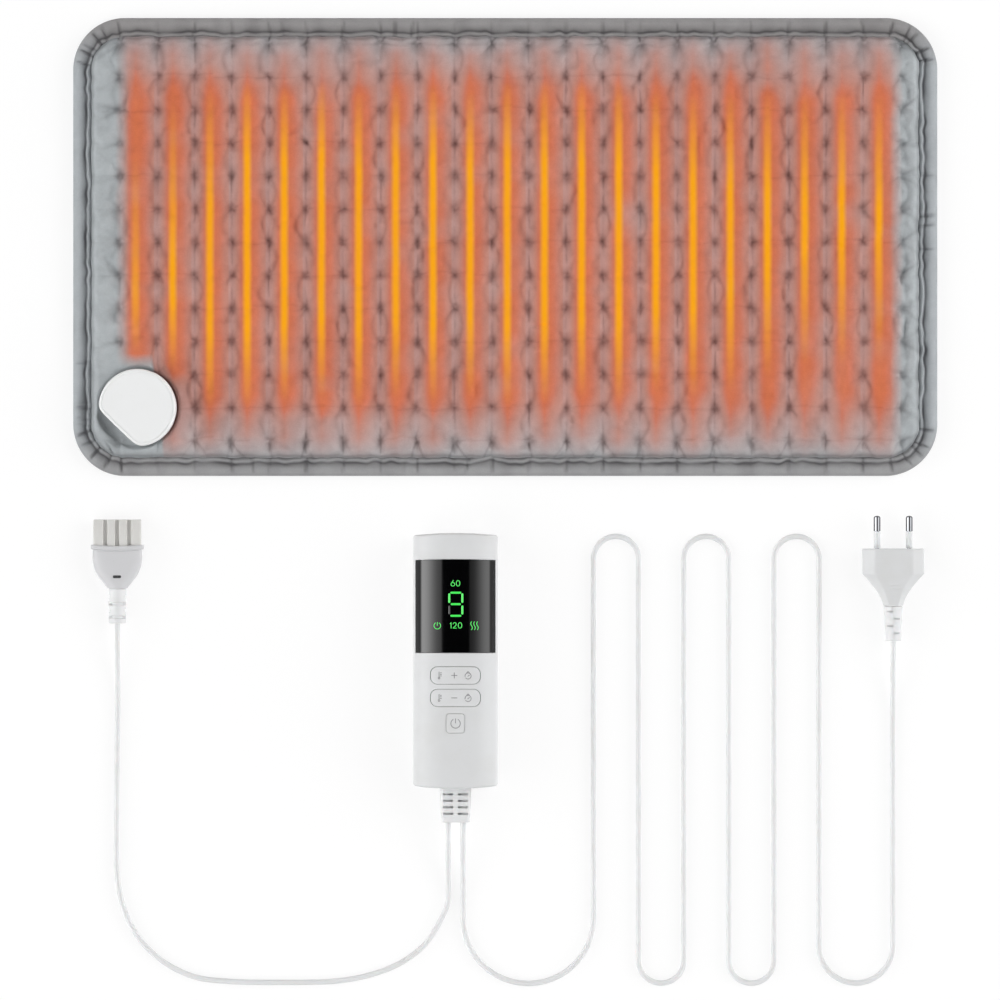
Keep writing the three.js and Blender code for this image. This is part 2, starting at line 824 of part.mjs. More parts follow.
// Clamp bar inside the pad, with two screws that pull the housing down onto the cloth.
function screwHole(x) {
  const head = rodAlongZ(
    socketScrew.headDiameter / 2 + gap,
    wireBedZ - overrun,
    wireBedZ + socketScrew.headHeight,
  );
  const shank = rodAlongZ(socketScrew.shankDiameter / 2 + gap, wireBedZ, waddingZ + overrun);
  return join(head, shank).translate(x, socket.screwY, 0);
}
const bar = roundedBar(
  2 * socket.screwX + clampBar.width,
  clampBar.width,
  clampBar.width / 2 - gap / 2,
  wireBedZ,
  wireBedZ + clampBar.thickness,
).translate(0, socket.screwY, 0);
piece(
  socketGroup,
  'socket_clamp_bar',
  cut(bar, screwHole(-socket.screwX), screwHole(socket.screwX)),
  steel,
);
[-socket.screwX, socket.screwX].forEach((x, i) => {
  const head = wireBedZ + socketScrew.headHeight - gap;
  const profile = [
    [0, wireBedZ],
    [socketScrew.headDiameter / 2, wireBedZ],
    [socketScrew.headDiameter / 2, head],
    [socketScrew.shankDiameter / 2, head],
    [socketScrew.shankDiameter / 2, housingZ + socketScrew.bite],
    [0, housingZ + socketScrew.bite],
  ];
  const screw = turned(profile, 12).rotateX(Math.PI / 2).translate(x, socket.screwY, 0);
  piece(socketGroup, `socket_screw_${i + 1}`, screw, steel);
});

// An upright oval ring across the Y axis: wide in X and thick in Z.
function ovalRing(halfWidth, halfThickness, y, z, power, steps = 24) {
  const ring = [];
  for (let i = 0; i < steps; i += 1) {
    const angle = (2 * Math.PI * i) / steps;
    const across = Math.cos(angle);
    const up = Math.sin(angle);
    ring.push(
      new THREE.Vector3(
        halfWidth * Math.sign(across) * Math.abs(across) ** (2 / power),
        y,
        z + halfThickness * Math.sign(up) * Math.abs(up) ** (2 / power),
      ),
    );
  }
  return ring;
}

// A ringed strain relief along -Y that tapers to the cord, with grooves between its rings.
function ringedTail(radius, endRadius, length, groove, rings) {
  const pitch = length / (rings + 1);
  const at = (y) => radius + ((endRadius - radius) * y) / length;
  const profile = [[0, 0], [at(0), 0]];
  for (let i = 1; i <= rings; i += 1) {
    const start = i * pitch - groove / 2;
    const end = i * pitch + groove / 2;
    const waist = at(i * pitch) - groove;
    profile.push([at(start), -start], [waist, -start], [waist, -end], [at(end), -end]);
  }
  profile.push([at(length), -length], [0, -length]);
  return turned([...profile].reverse(), 12);
}

// Connector: contacts in an ivory nose, an overmoulded body with a collar, and a ringed tail.
const connectorZ = connector.bodyThickness / 2;
const connectorGroup = new THREE.Group();
connectorGroup.position.set(connector.x, connector.y, connectorZ);
whole.add(connectorGroup);

function connectorBody() {
  const half = connector.bodyThickness / 2;
  const widthShares = [0.93, 0.94, 0.9, 0.78, 0.58, 0.4];
  const lengthShares = [0, 0.25, 0.45, 0.65, 0.83, 1];
  const collar = loft([
    ovalRing(connector.collarWidth / 2, connector.collarThickness / 2, 0, 0, 6),
    ovalRing(connector.collarWidth / 2, connector.collarThickness / 2, -connector.collarLength, 0, 6),
  ]);
  const neck = connector.neckDiameter / 2;
  const bell = widthShares.map((share, i) => {
    const along = lengthShares[i];
    const width = Math.max(neck, (share * connector.collarWidth) / 2);
    const thickness = half + (neck - half) * along;
    const y = -connector.collarLength / 2 - along * connector.bodyLength;
    return ovalRing(width, thickness, y, 0, 4 - 2 * along);
  });
  const top = half - connector.slotDepth;
  const slot = block(
    -connector.slotWidth / 2,
    connector.slotWidth / 2,
    -connector.slotFromCollar - connector.slotLength,
    -connector.slotFromCollar,
    top,
    half + overrun,
  );
  return cut(join(collar, loft(bell)), slot);
}

function connectorNose() {
  const half = connector.noseThickness / 2;
  let nose = block(-noseWidth / 2, noseWidth / 2, gap, connector.noseLength, -half, half);
  for (let i = 1; i < connector.ribs; i += 1) {
    const x = i * connector.ribPitch - noseWidth / 2;
    for (const side of [-1, 1]) {
      const deep = side * (half - connector.grooveDepth);
      const far = side * (half + overrun);
      const groove = block(
        x - connector.grooveWidth / 2,
        x + connector.grooveWidth / 2,
        -overrun,
        connector.noseLength + overrun,
        Math.min(deep, far),
        Math.max(deep, far),
      );
      nose = cut(nose, groove);
    }
  }
  const bore = socket.pinDiameter / 2 + connector.contactWall + 2 * gap;
  const holes = pinPlaces.map((x) =>
    rodAlongY(
      bore,
      connector.noseLength - connector.contactLength - 2 * gap,
      connector.noseLength + overrun,
      10,
    ).translate(x, 0, 0),
  );
  return cut(nose, ...holes);
}

function contact() {
  const inner = socket.pinDiameter / 2 + gap;
  const outer = inner + connector.contactWall;
  const open = connector.noseLength - gap;
  const closed = open - connector.contactLength;
  const floor = closed + connector.contactWall;
  return turned([[0, closed], [outer, closed], [outer, open], [inner, open], [inner, floor], [0, floor]], 10);
}

piece(connectorGroup, 'connector_body', connectorBody(), whitePlastic);
piece(connectorGroup, 'connector_nose', connectorNose(), ivoryPlastic);
pinPlaces.forEach((x, i) => {
  piece(connectorGroup, `connector_contact_${i + 1}`, contact().translate(x, 0, 0), brass);
});
const connectorTailY = -connector.collarLength / 2 - connector.bodyLength - gap;
piece(
  connectorGroup,
  'connector_tail',
  ringedTail(
    connector.tailDiameter / 2,
    connector.tailEndDiameter / 2,
    connector.tailLength,
    connector.tailGroove,
    connector.tailRings,
  ).translate(0, connectorTailY, 0),
  softPlastic,
);

// The controller stands in its own frame, with the parting line of its case at z = partingZ.
const controllerGroup = new THREE.Group();
controllerGroup.position.set(controller.x, controller.y, 0);
whole.add(controllerGroup);
const caseHalfWidth = controller.width / 2;
const caseHalfHeight = controller.height / 2;
const caseHalfLength = controller.length / 2;
const partingZ = caseHalfHeight - controller.flatDepth;

// Height of the oval surface over the parting line at a distance from the middle.
function ovalRise(x, halfWidth, halfHeight) {
  const share = Math.min(1, Math.abs(x) / halfWidth);
  return halfHeight * (1 - share ** controller.roundness) ** (1 / controller.roundness);
}

// A body of the case's oval section whose ends are arched in plan and rounded at the rim.
function ovalBody(halfWidth, halfHeight, halfLength, round) {
  const stations = [
    [-1, 1, 0.4],
    [-1, 1, 1],
    [-1, 0.3, 1],
    [-1, 0, 1],
    [1, 0, 1],
    [1, 0.3, 1],
    [1, 1, 1],
    [1, 1, 0.4],
  ];
  const rings = stations.map(([end, share, spread]) => {
    const inset = share * share * round;
    const y = end * (halfLength - (1 - share) * round);
    const ring = ovalRing(
      spread * (halfWidth - inset),
      spread * (halfHeight - inset),
      y,
      partingZ,
      controller.roundness,
      28,
    );
    for (const point of ring) {
      point.y -= end * controller.endArch * (point.x / halfWidth) ** 2;
    }
    return ring;
  });
  return loft(rings);
}

const caseBlock = (lowZ, highZ) =>
  block(
    -caseHalfWidth - overrun,
    caseHalfWidth + overrun,
    -caseHalfLength - overrun,
    caseHalfLength + overrun,
    lowZ,
    highZ,
  );
const cavityHalfWidth = caseHalfWidth - controller.sideWall;
const cavityHalfLength = caseHalfLength - controller.endWall;
const cavityRise = caseHalfHeight - controller.frontWall;
const cavityDrop = caseHalfHeight - controller.backWall;
const lensHighY = caseHalfLength - lens.fromTop;
const lensLowY = lensHighY - lens.lengthShare * controller.length;
const plusY = lensLowY - keys.plusFromLens;
const minusY = plusY - keys.minusFromPlus;
const powerY = minusY - keys.powerFromMinus;
const boardLength = controller.length - 2 * board.endSpace;
const lensHalfWidth = caseHalfWidth - lens.sideMargin;
const lensFootZ = partingZ + lens.sideDrop;
const boardTopZ = partingZ + board.rise;
const keyPlateZ = partingZ + cavityRise - keys.seatDrop;
const pivotZ = keyPlateZ - keys.pivotDrop + keys.pivotDiameter / 2;
const postEndZ = keyPlateZ - keys.postDrop;
const tactTopZ = postEndZ - keys.postSpace;

// What the lens fills: the case's skin between two ovals, over one stretch of its length.
function lensBody(space, recess, thickness) {
  const outer = ovalBody(
    caseHalfWidth - recess,
    caseHalfHeight - recess,
    caseHalfLength,
    controller.endRound,
  );
  const depth = recess + thickness + space;
  const inner = ovalBody(
    caseHalfWidth - depth,
    caseHalfHeight - depth,
    caseHalfLength + overrun,
    controller.endRound,
  );
  const stretch = block(
    -lensHalfWidth - space,
    lensHalfWidth + space,
    lensLowY - space,
    lensHighY + space,
    lensFootZ - space,
    partingZ + controller.height,
  );
  return common(cut(outer, inner), stretch);
}

// Openings for the keys, wider than the keys by their side gap.
const rockerOpening = (y) =>
  roundedBar(
    keys.width + 2 * keys.sideGap,
    keys.length + 2 * keys.sideGap,
    keys.cornerRadius + keys.sideGap,
    partingZ,
    partingZ + controller.height,
  ).translate(0, y, 0);

const screwPlaces = [
  [-caseScrew.x, caseHalfLength - caseScrew.fromEnd],
  [caseScrew.x, caseHalfLength - caseScrew.fromEnd],
  [-caseScrew.x, caseScrew.fromEnd - caseHalfLength],
  [caseScrew.x, caseScrew.fromEnd - caseHalfLength],
];
const bossRadius = caseScrew.shankDiameter / 2 + gap + caseScrew.bossWall;
const screwSinkZ = partingZ - ovalRise(caseScrew.x, caseHalfWidth, caseHalfHeight) + caseScrew.sink;
const screwTipZ = screwSinkZ + caseScrew.length;

const boardPostPlaces = [-1, 1].flatMap((sideX) =>
  [-1, 1].map((sideY) => [sideX * board.postX, (sideY * boardLength) / 3]),
);

// Where the gland passes through the lower end of the case.
const glandZ = partingZ - gland.drop;
const glandHole = block(
  -gland.width / 2 - gap,
  gland.width / 2 + gap,
  -caseHalfLength - overrun,
  -cavityHalfLength + overrun,
  glandZ - gland.thickness / 2 - gap,
  glandZ + gland.thickness / 2 + gap,
);

// Front half of the case: recess and window for the lens, openings and bearing lugs for the keys.
function frontCase() {
  const outer = common(
    ovalBody(caseHalfWidth, caseHalfHeight, caseHalfLength, controller.endRound),
    caseBlock(partingZ + gap / 2, partingZ + controller.height),
  );
  const cavity = ovalBody(cavityHalfWidth, cavityRise, cavityHalfLength, controller.endRound);
  const lensRecess = lensBody(gap, -overrun, lens.recess + lens.thickness + overrun);
  const window = block(
    -lens.windowWidth / 2,
    lens.windowWidth / 2,
    lensLowY + lens.windowMargin,
    lensHighY - lens.windowMargin,
    partingZ,
    partingZ + controller.height,
  );
  const lugs = [plusY, minusY].flatMap((y) =>
    [-1, 1].map((side) => {
      const near = y + side * (keys.length / 2 + keys.sideGap);
      const far = near + side * keys.lugThickness;
      return block(
        -keys.hubWidth / 2 - keys.lugMargin,
        keys.hubWidth / 2 + keys.lugMargin,
        Math.min(near, far),
        Math.max(near, far),
        pivotZ - keys.pivotDiameter / 2,
        partingZ + cavityRise + controller.frontWall / 2,
      );
    }),
  );
  const bosses = screwPlaces.map(([x, y]) =>
    rodAlongZ(bossRadius, partingZ + gap / 2, partingZ + cavityRise, 12).translate(x, y, 0),
  );
  const pivots = [plusY, minusY].map((y) => {
    const radius = keys.pivotDiameter / 2 + gap;
    const reach = keys.length / 2 + keys.sideGap + keys.lugThickness + overrun / 2;
    const hole = rodAlongY(radius, -reach, reach, 12);
    const slot = block(-radius, radius, -reach, reach, -keys.pivotDiameter, 0);
    return join(hole, slot).translate(0, y, pivotZ);
  });
  const shell = join(cut(outer, cavity), ...lugs, ...bosses);
  const power = roundedBar(
    keys.powerWidth + 2 * keys.sideGap,
    keys.powerLength + 2 * keys.sideGap,
    keys.powerCornerRadius + keys.sideGap,
    partingZ,
    partingZ + controller.height,
  ).translate(0, powerY, 0);
  const holes = screwPlaces.map(([x, y]) =>
    rodAlongZ(caseScrew.shankDiameter / 2 + gap, partingZ, screwTipZ + gap, 12).translate(x, y, 0),
  );
  return cut(
    shell,
    lensRecess,
    window,
    rockerOpening(plusY),
    rockerOpening(minusY),
    power,
    glandHole,
    ...pivots,
    ...holes,
  );
}

// Back half of the case: flat underneath, with four bosses for the screws.
function backCase() {
  const outer = common(
    ovalBody(caseHalfWidth, caseHalfHeight, caseHalfLength, controller.endRound),
    caseBlock(0, partingZ - gap / 2),
  );
  const cavity = ovalBody(cavityHalfWidth, cavityDrop, cavityHalfLength, controller.endRound);
  const bosses = screwPlaces.map(([x, y]) =>
    rodAlongZ(
      caseScrew.headDiameter / 2 + gap + caseScrew.bossWall,
      screwSinkZ,
      partingZ - gap / 2,
      12,
    ).translate(x, y, 0),
  );
  const posts = boardPostPlaces.map(([x, y]) =>
    rodAlongZ(
      board.postDiameter / 2,
      partingZ - cavityDrop - controller.backWall / 2,
      boardTopZ - board.thickness - gap,
      8,
    ).translate(x, y, 0),
  );
  const holes = screwPlaces.flatMap(([x, y]) => [
    rodAlongZ(caseScrew.headDiameter / 2 + gap, -overrun, screwSinkZ, 12).translate(x, y, 0),
    rodAlongZ(caseScrew.shankDiameter / 2 + gap, 0, partingZ + overrun, 12).translate(x, y, 0),
  ]);
  return cut(join(cut(outer, cavity), ...bosses, ...posts), glandHole, ...holes);
}

piece(controllerGroup, 'case_front', frontCase(), whitePlastic);
piece(controllerGroup, 'case_back', backCase(), whitePlastic);
piece(controllerGroup, 'display_lens', lensBody(0, lens.recess, lens.thickness), blackGloss);

// Screws that hold the case together, from the back.
screwPlaces.forEach(([x, y], i) => {
  const profile = [
    [0, screwSinkZ - caseScrew.headHeight - gap],
    [caseScrew.headDiameter / 2, screwSinkZ - caseScrew.headHeight - gap],
    [caseScrew.headDiameter / 2, screwSinkZ - gap],
    [caseScrew.shankDiameter / 2, screwSinkZ - gap],
    [caseScrew.shankDiameter / 2, screwTipZ],
    [0, screwTipZ],
  ];
  const screw = turned(profile, 12).rotateX(Math.PI / 2).translate(x, y, 0);
  piece(controllerGroup, `case_screw_${i + 1}`, screw, steel);
});

// Circuit board, resting on the bosses' level, with its parts.
piece(
  controllerGroup,
  'circuit_board',
  block(
    -board.width / 2,
    board.width / 2,
    -boardLength / 2,
    boardLength / 2,
    boardTopZ - board.thickness,
    boardTopZ,
  ),
  boardGreen,
);
const partZ = boardTopZ + gap;
const displayY = (lensLowY + lensHighY) / 2;
const displayHalf = (lensHighY - lensLowY) / 2 - lens.windowMargin - display.endSpace;
piece(
  controllerGroup,
  'display_module',
  block(
    -display.width / 2,
    display.width / 2,
    displayY - displayHalf,
    displayY + displayHalf,
    partZ,
    partZ + display.height,
  ),
  darkPlastic,
);

// Tact switches under the keys.
function tactSwitch() {
  const half = tact.width / 2;
  const baseTop = partZ + tact.baseHeight;
  const stem = rodAlongZ(tact.stemDiameter / 2, partZ, tactTopZ, 12);
  return join(block(-half, half, -half, half, partZ, baseTop), stem);
}
[
  ['heat_up_switch', -keys.postReach, plusY],
  ['time_up_switch', keys.postReach, plusY],
  ['heat_down_switch', -keys.postReach, minusY],
  ['time_down_switch', keys.postReach, minusY],
  ['power_switch', 0, powerY],
].forEach(([name, x, y]) => {
  piece(controllerGroup, name, tactSwitch().translate(x, y, 0), darkPlastic);
});

// Power parts under the board's lower end.
const underBoardZ = boardTopZ - board.thickness - gap;
const powerRowY = -boardLength / 2 + relay.length / 2 + partSpace / 2;
const hanging = (part, x) =>
  block(
    x - part.width / 2,
    x + part.width / 2,
    powerRowY - part.length / 2,
    powerRowY + part.length / 2,
    underBoardZ - part.height,
    underBoardZ,
  );
piece(controllerGroup, 'relay', hanging(relay, 0), partBlue);
piece(
  controllerGroup,
  'capacitor',
  hanging(capacitor, relay.width / 2 + partSpace + capacitor.width / 2),
  partYellow,
);
const fuseX = -relay.width / 2 - partSpace - fuse.diameter / 2;
piece(
  controllerGroup,
  'board_fuse',
  rodAlongY(fuse.diameter / 2, -fuse.length / 2, fuse.length / 2, 12).translate(
    fuseX,
    powerRowY,
    underBoardZ - fuse.diameter / 2,
  ),
  glassTube,
);

// Rocker keys: a bar on two trunnions, with a post over a switch at each end.
function rocker() {
  const skin = ovalBody(
    caseHalfWidth + keys.proud,
    caseHalfHeight + keys.proud,
    caseHalfLength + overrun,
    controller.endRound,
  );
  const bar = common(
    roundedBar(keys.width, keys.length, keys.cornerRadius, keyPlateZ, partingZ + controller.height),
    skin,
  );
  const hub = block(
    -keys.hubWidth / 2,
    keys.hubWidth / 2,
    -keys.length / 2,
    keys.length / 2,
    pivotZ - keys.pivotDiameter / 2,
    keyPlateZ + keys.proud,
  );
  const reach = keys.length / 2 + keys.pivotLength;
  const trunnions = rodAlongY(keys.pivotDiameter / 2, -reach, reach, 12).translate(0, 0, pivotZ);
  const posts = [-keys.postReach, keys.postReach].map((x) =>
    rodAlongZ(keys.postDiameter / 2, postEndZ, keyPlateZ + keys.proud, 12).translate(x, 0, 0),
  );
  return join(bar, hub, trunnions, ...posts);
}
piece(controllerGroup, 'plus_key', rocker().translate(0, plusY, 0), keyPlastic);
piece(controllerGroup, 'minus_key', rocker().translate(0, minusY, 0), keyPlastic);

// Power key: a cap with a flange that stops it under the case, and a post over its switch.
function powerKey() {
  const skin = ovalBody(
    caseHalfWidth + keys.proud,
    caseHalfHeight + keys.proud,
    caseHalfLength + overrun,
    controller.endRound,
  );
  const flangeTop = keyPlateZ;
  const flangeBottom = flangeTop - keys.flangeThickness;
  const cap = common(
    roundedBar(
      keys.powerWidth,
      keys.powerLength,
      keys.powerCornerRadius,
      flangeBottom,
      partingZ + controller.height,
    ),
    skin,
  );
  const flange = roundedBar(
    keys.powerWidth + 2 * (keys.sideGap + keys.flangeMargin),
    keys.powerLength + 2 * (keys.sideGap + keys.flangeMargin),
    keys.powerCornerRadius,
    flangeBottom,
    flangeTop,
  );
  return join(cap, flange, rodAlongZ(keys.postDiameter / 2, postEndZ, flangeTop, 12));
}
piece(controllerGroup, 'power_key', powerKey().translate(0, powerY, 0), keyPlastic);

// Cord gland: a flange inside the case, a neck through its wall and a slotted taper outside.
function cordGland() {
  const outerY = -caseHalfLength + controller.endArch;
  const innerY = -cavityHalfLength + controller.endArch;
  const endY = -caseHalfLength - gland.length;
  const ring = (width, thickness, y) => ovalRing(width / 2, thickness / 2, y, glandZ, 5);
  const taper = loft([
    ring(gland.width - gap, gland.thickness, innerY),
    ring(gland.width - gap, gland.thickness, outerY),
    ring(gland.endWidth, gland.endThickness, endY),
  ]);
  const flange = block(
    -gland.width / 2 - gland.flangeMargin,
    gland.width / 2 + gland.flangeMargin,
    innerY,
    innerY + gland.flangeThickness,
    glandZ - gland.thickness / 2 - gland.flangeMargin,
    glandZ + gland.thickness / 2 + gland.flangeMargin,
  );
  const slots = [];
  const pitch = (gland.length - gland.slotLength) / (gland.slotRows + 1);
  for (let row = 1; row <= gland.slotRows; row += 1) {
    const y = -caseHalfLength - row * pitch;
    for (const side of [-1, 1]) {
      for (const face of [-1, 1]) {
        const share = row / (gland.slotRows + 1);
        const surface = (gland.thickness + (gland.endThickness - gland.thickness) * share) / 2;
        const deep = face * (surface - gland.slotDepth);
        const far = face * (surface + overrun);
        const x = (side * cord.spacing) / 2;
        slots.push(
          block(
            x - gland.slotWidth / 2,
            x + gland.slotWidth / 2,
            y - gland.slotLength / 2,
            y + gland.slotLength / 2,
            glandZ + Math.min(deep, far),
            glandZ + Math.max(deep, far),
          ),
        );
      }
    }
  }
  return cut(join(taper, flange), ...slots);
}
piece(controllerGroup, 'cord_gland', cordGland(), softPlastic);

// Mains plug: a flat six-sided body on two sleeved pins, with a ringed tail.
const plugGroup = new THREE.Group();
plugGroup.position.set(plug.x, plug.y, plug.thickness / 2);
whole.add(plugGroup);

function plugBody() {
  const lengthShares = [0, 0.44, 0.6, 0.78, 1];
  const spreadShares = [1, 1, 0.62, 0.22, 0];
  const rings = lengthShares.map((along, i) => {
    const spread = spreadShares[i];
    const between = (low, high) => low + (high - low) * spread;
    const half = between(plug.neckWidth, plug.width) / 2;
    const face = between(plug.neckWidth / 2, plug.faceWidth) / 2;
    const thick = between(plug.neckThickness, plug.thickness) / 2;
    const edge = thick / 4;
    const y = -along * plug.bodyLength;
    return [
      [half, edge],
      [face, thick],
      [-face, thick],
      [-half, edge],
      [-half, -edge],
      [-face, -thick],
      [face, -thick],
      [half, -edge],
    ].map(([x, z]) => new THREE.Vector3(x, y, z));
  });
  const bores = [-1, 1].map((side) =>
    rodAlongY(plug.pinCore / 2 + gap, -plug.pinRoot - gap, overrun, 12).translate(
      (side * plug.pinSpacing) / 2,
      0,
      0,
    ),
  );
  return cut(loft(rings), ...bores);
}
piece(plugGroup, 'plug_body', plugBody(), whitePlastic);
[['left', -1], ['right', 1]].forEach(([name, side]) => {
  const x = (side * plug.pinSpacing) / 2;
  const radius = plug.pinDiameter / 2;
  const shoulder = plug.pinLength - plug.pinTip;
  const pin = turned(
    [
      [0, -plug.pinRoot],
      [plug.pinCore / 2, -plug.pinRoot],
      [plug.pinCore / 2, shoulder],
      [radius, shoulder],
      [radius, plug.pinLength - radius / 2],
      [radius / 2, plug.pinLength],
      [0, plug.pinLength],
    ],
    16,
  );
  piece(plugGroup, `plug_pin_${name}`, pin.translate(x, 0, 0), nickel);
  const bore = plug.pinCore / 2 + gap;
  const sleeve = turned(
    [
      [bore, gap],
      [plug.sleeveDiameter / 2, gap],
      [plug.sleeveDiameter / 2, shoulder - gap],
      [bore, shoulder - gap],
      [bore, gap],
    ],
    16,
  );
  piece(plugGroup, `plug_sleeve_${name}`, sleeve.translate(x, 0, 0), softPlastic);
});
const plugTailY = -plug.bodyLength - gap;
piece(
  plugGroup,
  'plug_tail',
  ringedTail(
    plug.tailDiameter / 2,
    plug.tailEndDiameter / 2,
    plug.tailLength,
    plug.tailGroove,
    plug.tailRings,
  ).translate(0, plugTailY, 0),
  softPlastic,
);

// Rings for a cord where a curve through its route's points turns by cord.turnDegrees.
function curveRings(route) {
  const curve = new THREE.CatmullRomCurve3(route, false, 'centripetal');
  const fine = curve.getPoints(60 * (route.length - 1));
  const limit = THREE.MathUtils.degToRad(cord.turnDegrees);
  const rings = [fine[0]];
  let turn = 0;
  for (let i = 1; i < fine.length - 1; i += 1) {
    const before = fine[i].clone().sub(fine[i - 1]);
    const after = fine[i + 1].clone().sub(fine[i]);
    turn += before.angleTo(after);
    if (turn > limit) {
      rings.push(fine[i]);
      turn = 0;
    }
  }
  rings.push(fine[fine.length - 1]);
  return rings;
}

// Routes of the cords: straight out of the gland, down to the table and along it.
const cordZ = cord.diameter / 2 + cord.lift;
const glandEndY = controller.y - caseHalfLength - gland.length - gap;
const padCordX = controller.x - cord.spacing / 2;
const mainsCordX = controller.x + cord.spacing / 2;
const connectorEndY = connector.y + connectorTailY - connector.tailLength - gap;
const plugEndY = plug.y + plugTailY - plug.tailLength - gap;
const along = (x, y, z = cordZ) => new THREE.Vector3(x, y, z);

// The slope of a cord from where it leaves a piece down to the table, as shares of its
// length and of its drop. It lies along Y, "way" being the direction it leaves in.
function slope(x, y, z, way) {
  const lengthShares = [0, 0.12, 0.34, 0.58, 0.8, 1];
  const heightShares = [1, 1, 0.8, 0.36, 0.09, 0.01];
  return lengthShares.map((share, i) =>
    along(x, y + way * share * cord.slopeLength, cordZ + heightShares[i] * (z - cordZ)),
  );
}

const padRoute = [
  ...slope(padCordX, glandEndY, glandZ, -1),
  along(-37.2, -389),
  along(-46, -403),
  along(-60, -414),
  along(-78, -421.2),
  along(-98, -424.8),
  along(-130, -425.6),
  along(-160, -425),
  along(-180, -422.3),
  along(-198, -413.5),
  along(-212, -400),
  along(-221, -382),
  along(-224.7, -362),
  along(-225, -335),
  along(-224.6, -290),
  ...slope(connector.x, connectorEndY, connectorZ, -1).reverse(),
];

const plugZ = plug.thickness / 2;
// The mains cord lies in straight runs up and down, joined by half circles. Each half circle is
// given by its centre and radius, and the first one is at the low end.
const mainsBends = [
  [13.3, -388.5, 37.75],
  [64.1, -180.5, 13.05],
  [90.2, -413, 13.05],
  [116.3, -180.5, 13.05],
  [142.4, -413, 13.05],
  [168.5, -180.5, 13.05],
  [202.9, -404.6, 21.35],
];
const bendSteps = 7;
const mainsRings = [
  ...slope(mainsCordX, glandEndY, glandZ, -1),
  ...mainsBends.flatMap(([x, y, radius], k) => {
    const side = k % 2 === 0 ? -1 : 1;
    return Array.from({ length: bendSteps + 1 }, (_, i) => {
      const angle = (Math.PI * i) / bendSteps;
      return along(x - radius * Math.cos(angle), y + side * radius * Math.sin(angle));
    });
  }),
  ...slope(plug.x, plugEndY, plugZ, -1).reverse(),
];
piece(whole, 'pad_cord', tube(curveRings(padRoute), cord.diameter / 2, 8), softPlastic);
piece(whole, 'mains_cord', tube(mainsRings, cord.diameter / 2, 8), softPlastic);

export default whole;
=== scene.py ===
import bpy
import numpy as np
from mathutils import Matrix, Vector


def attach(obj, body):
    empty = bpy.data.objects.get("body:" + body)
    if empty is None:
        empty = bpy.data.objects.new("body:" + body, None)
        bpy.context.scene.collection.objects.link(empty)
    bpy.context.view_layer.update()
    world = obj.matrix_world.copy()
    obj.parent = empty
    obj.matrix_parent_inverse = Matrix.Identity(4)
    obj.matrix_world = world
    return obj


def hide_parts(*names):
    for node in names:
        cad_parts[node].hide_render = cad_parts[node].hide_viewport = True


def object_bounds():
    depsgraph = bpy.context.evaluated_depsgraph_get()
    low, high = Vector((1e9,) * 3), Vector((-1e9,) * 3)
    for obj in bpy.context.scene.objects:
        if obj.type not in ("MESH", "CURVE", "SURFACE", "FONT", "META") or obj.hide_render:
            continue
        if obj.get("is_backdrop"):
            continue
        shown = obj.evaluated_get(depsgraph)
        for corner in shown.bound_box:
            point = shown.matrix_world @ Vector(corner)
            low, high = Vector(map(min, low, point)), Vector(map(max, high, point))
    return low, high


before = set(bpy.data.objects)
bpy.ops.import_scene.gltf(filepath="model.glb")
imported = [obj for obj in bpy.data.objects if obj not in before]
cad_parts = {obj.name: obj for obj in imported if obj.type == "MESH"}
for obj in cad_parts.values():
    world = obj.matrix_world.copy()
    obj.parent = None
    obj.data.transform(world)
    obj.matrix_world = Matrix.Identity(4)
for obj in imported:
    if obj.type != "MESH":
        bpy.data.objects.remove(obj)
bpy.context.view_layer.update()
scene = bpy.context.scene
scene.view_settings.view_transform = "Standard"

# Camera: a long lens 4 m straight above the table, so that a millimetre of the table is
# 1.727 pixels of a picture 1000 pixels wide, and the top of the picture is +Y.
camera_height, sensor_width = 4.0, 36
pixels_per_mm = 1.727
picture_width = 1000 / pixels_per_mm / 1000
picture_centre = (-0.00304, -0.1464)


def stand(name, data):
    """A new object in the scene, with that data."""
    made = bpy.data.objects.new(name, data)
    scene.collection.objects.link(made)
    return made


scene.camera = camera = stand("camera", bpy.data.cameras.new("camera"))
camera.data.sensor_width = sensor_width
camera.data.lens = sensor_width * camera_height / picture_width
camera.location = (*picture_centre, camera_height)

# Cords: two round leads with a soft white skin, 3.2 mm thick, drawn from the controller's
# gland. One runs round to the pad's connector, the other lies in long loops up to the plug.
cord_radius, cord_z = 1.6, 1.7
gland_end_y, gland_z = -332.8, 10.1
slope_length = 46.0
white = (1, 1, 1, 1)


def cord_slope(x, y, z, way):
    """Six points from where a cord leaves a piece down to the table: shares of the slope's length
    along Y and of its drop in Z."""
    length_shares = np.array([0, 0.12, 0.34, 0.58, 0.8, 1])
    height_shares = np.array([1, 1, 0.8, 0.36, 0.09, 0.01])
    heights = cord_z + height_shares * (z - cord_z)
    return np.stack([np.full(6, x), y + way * length_shares * slope_length, heights], 1)


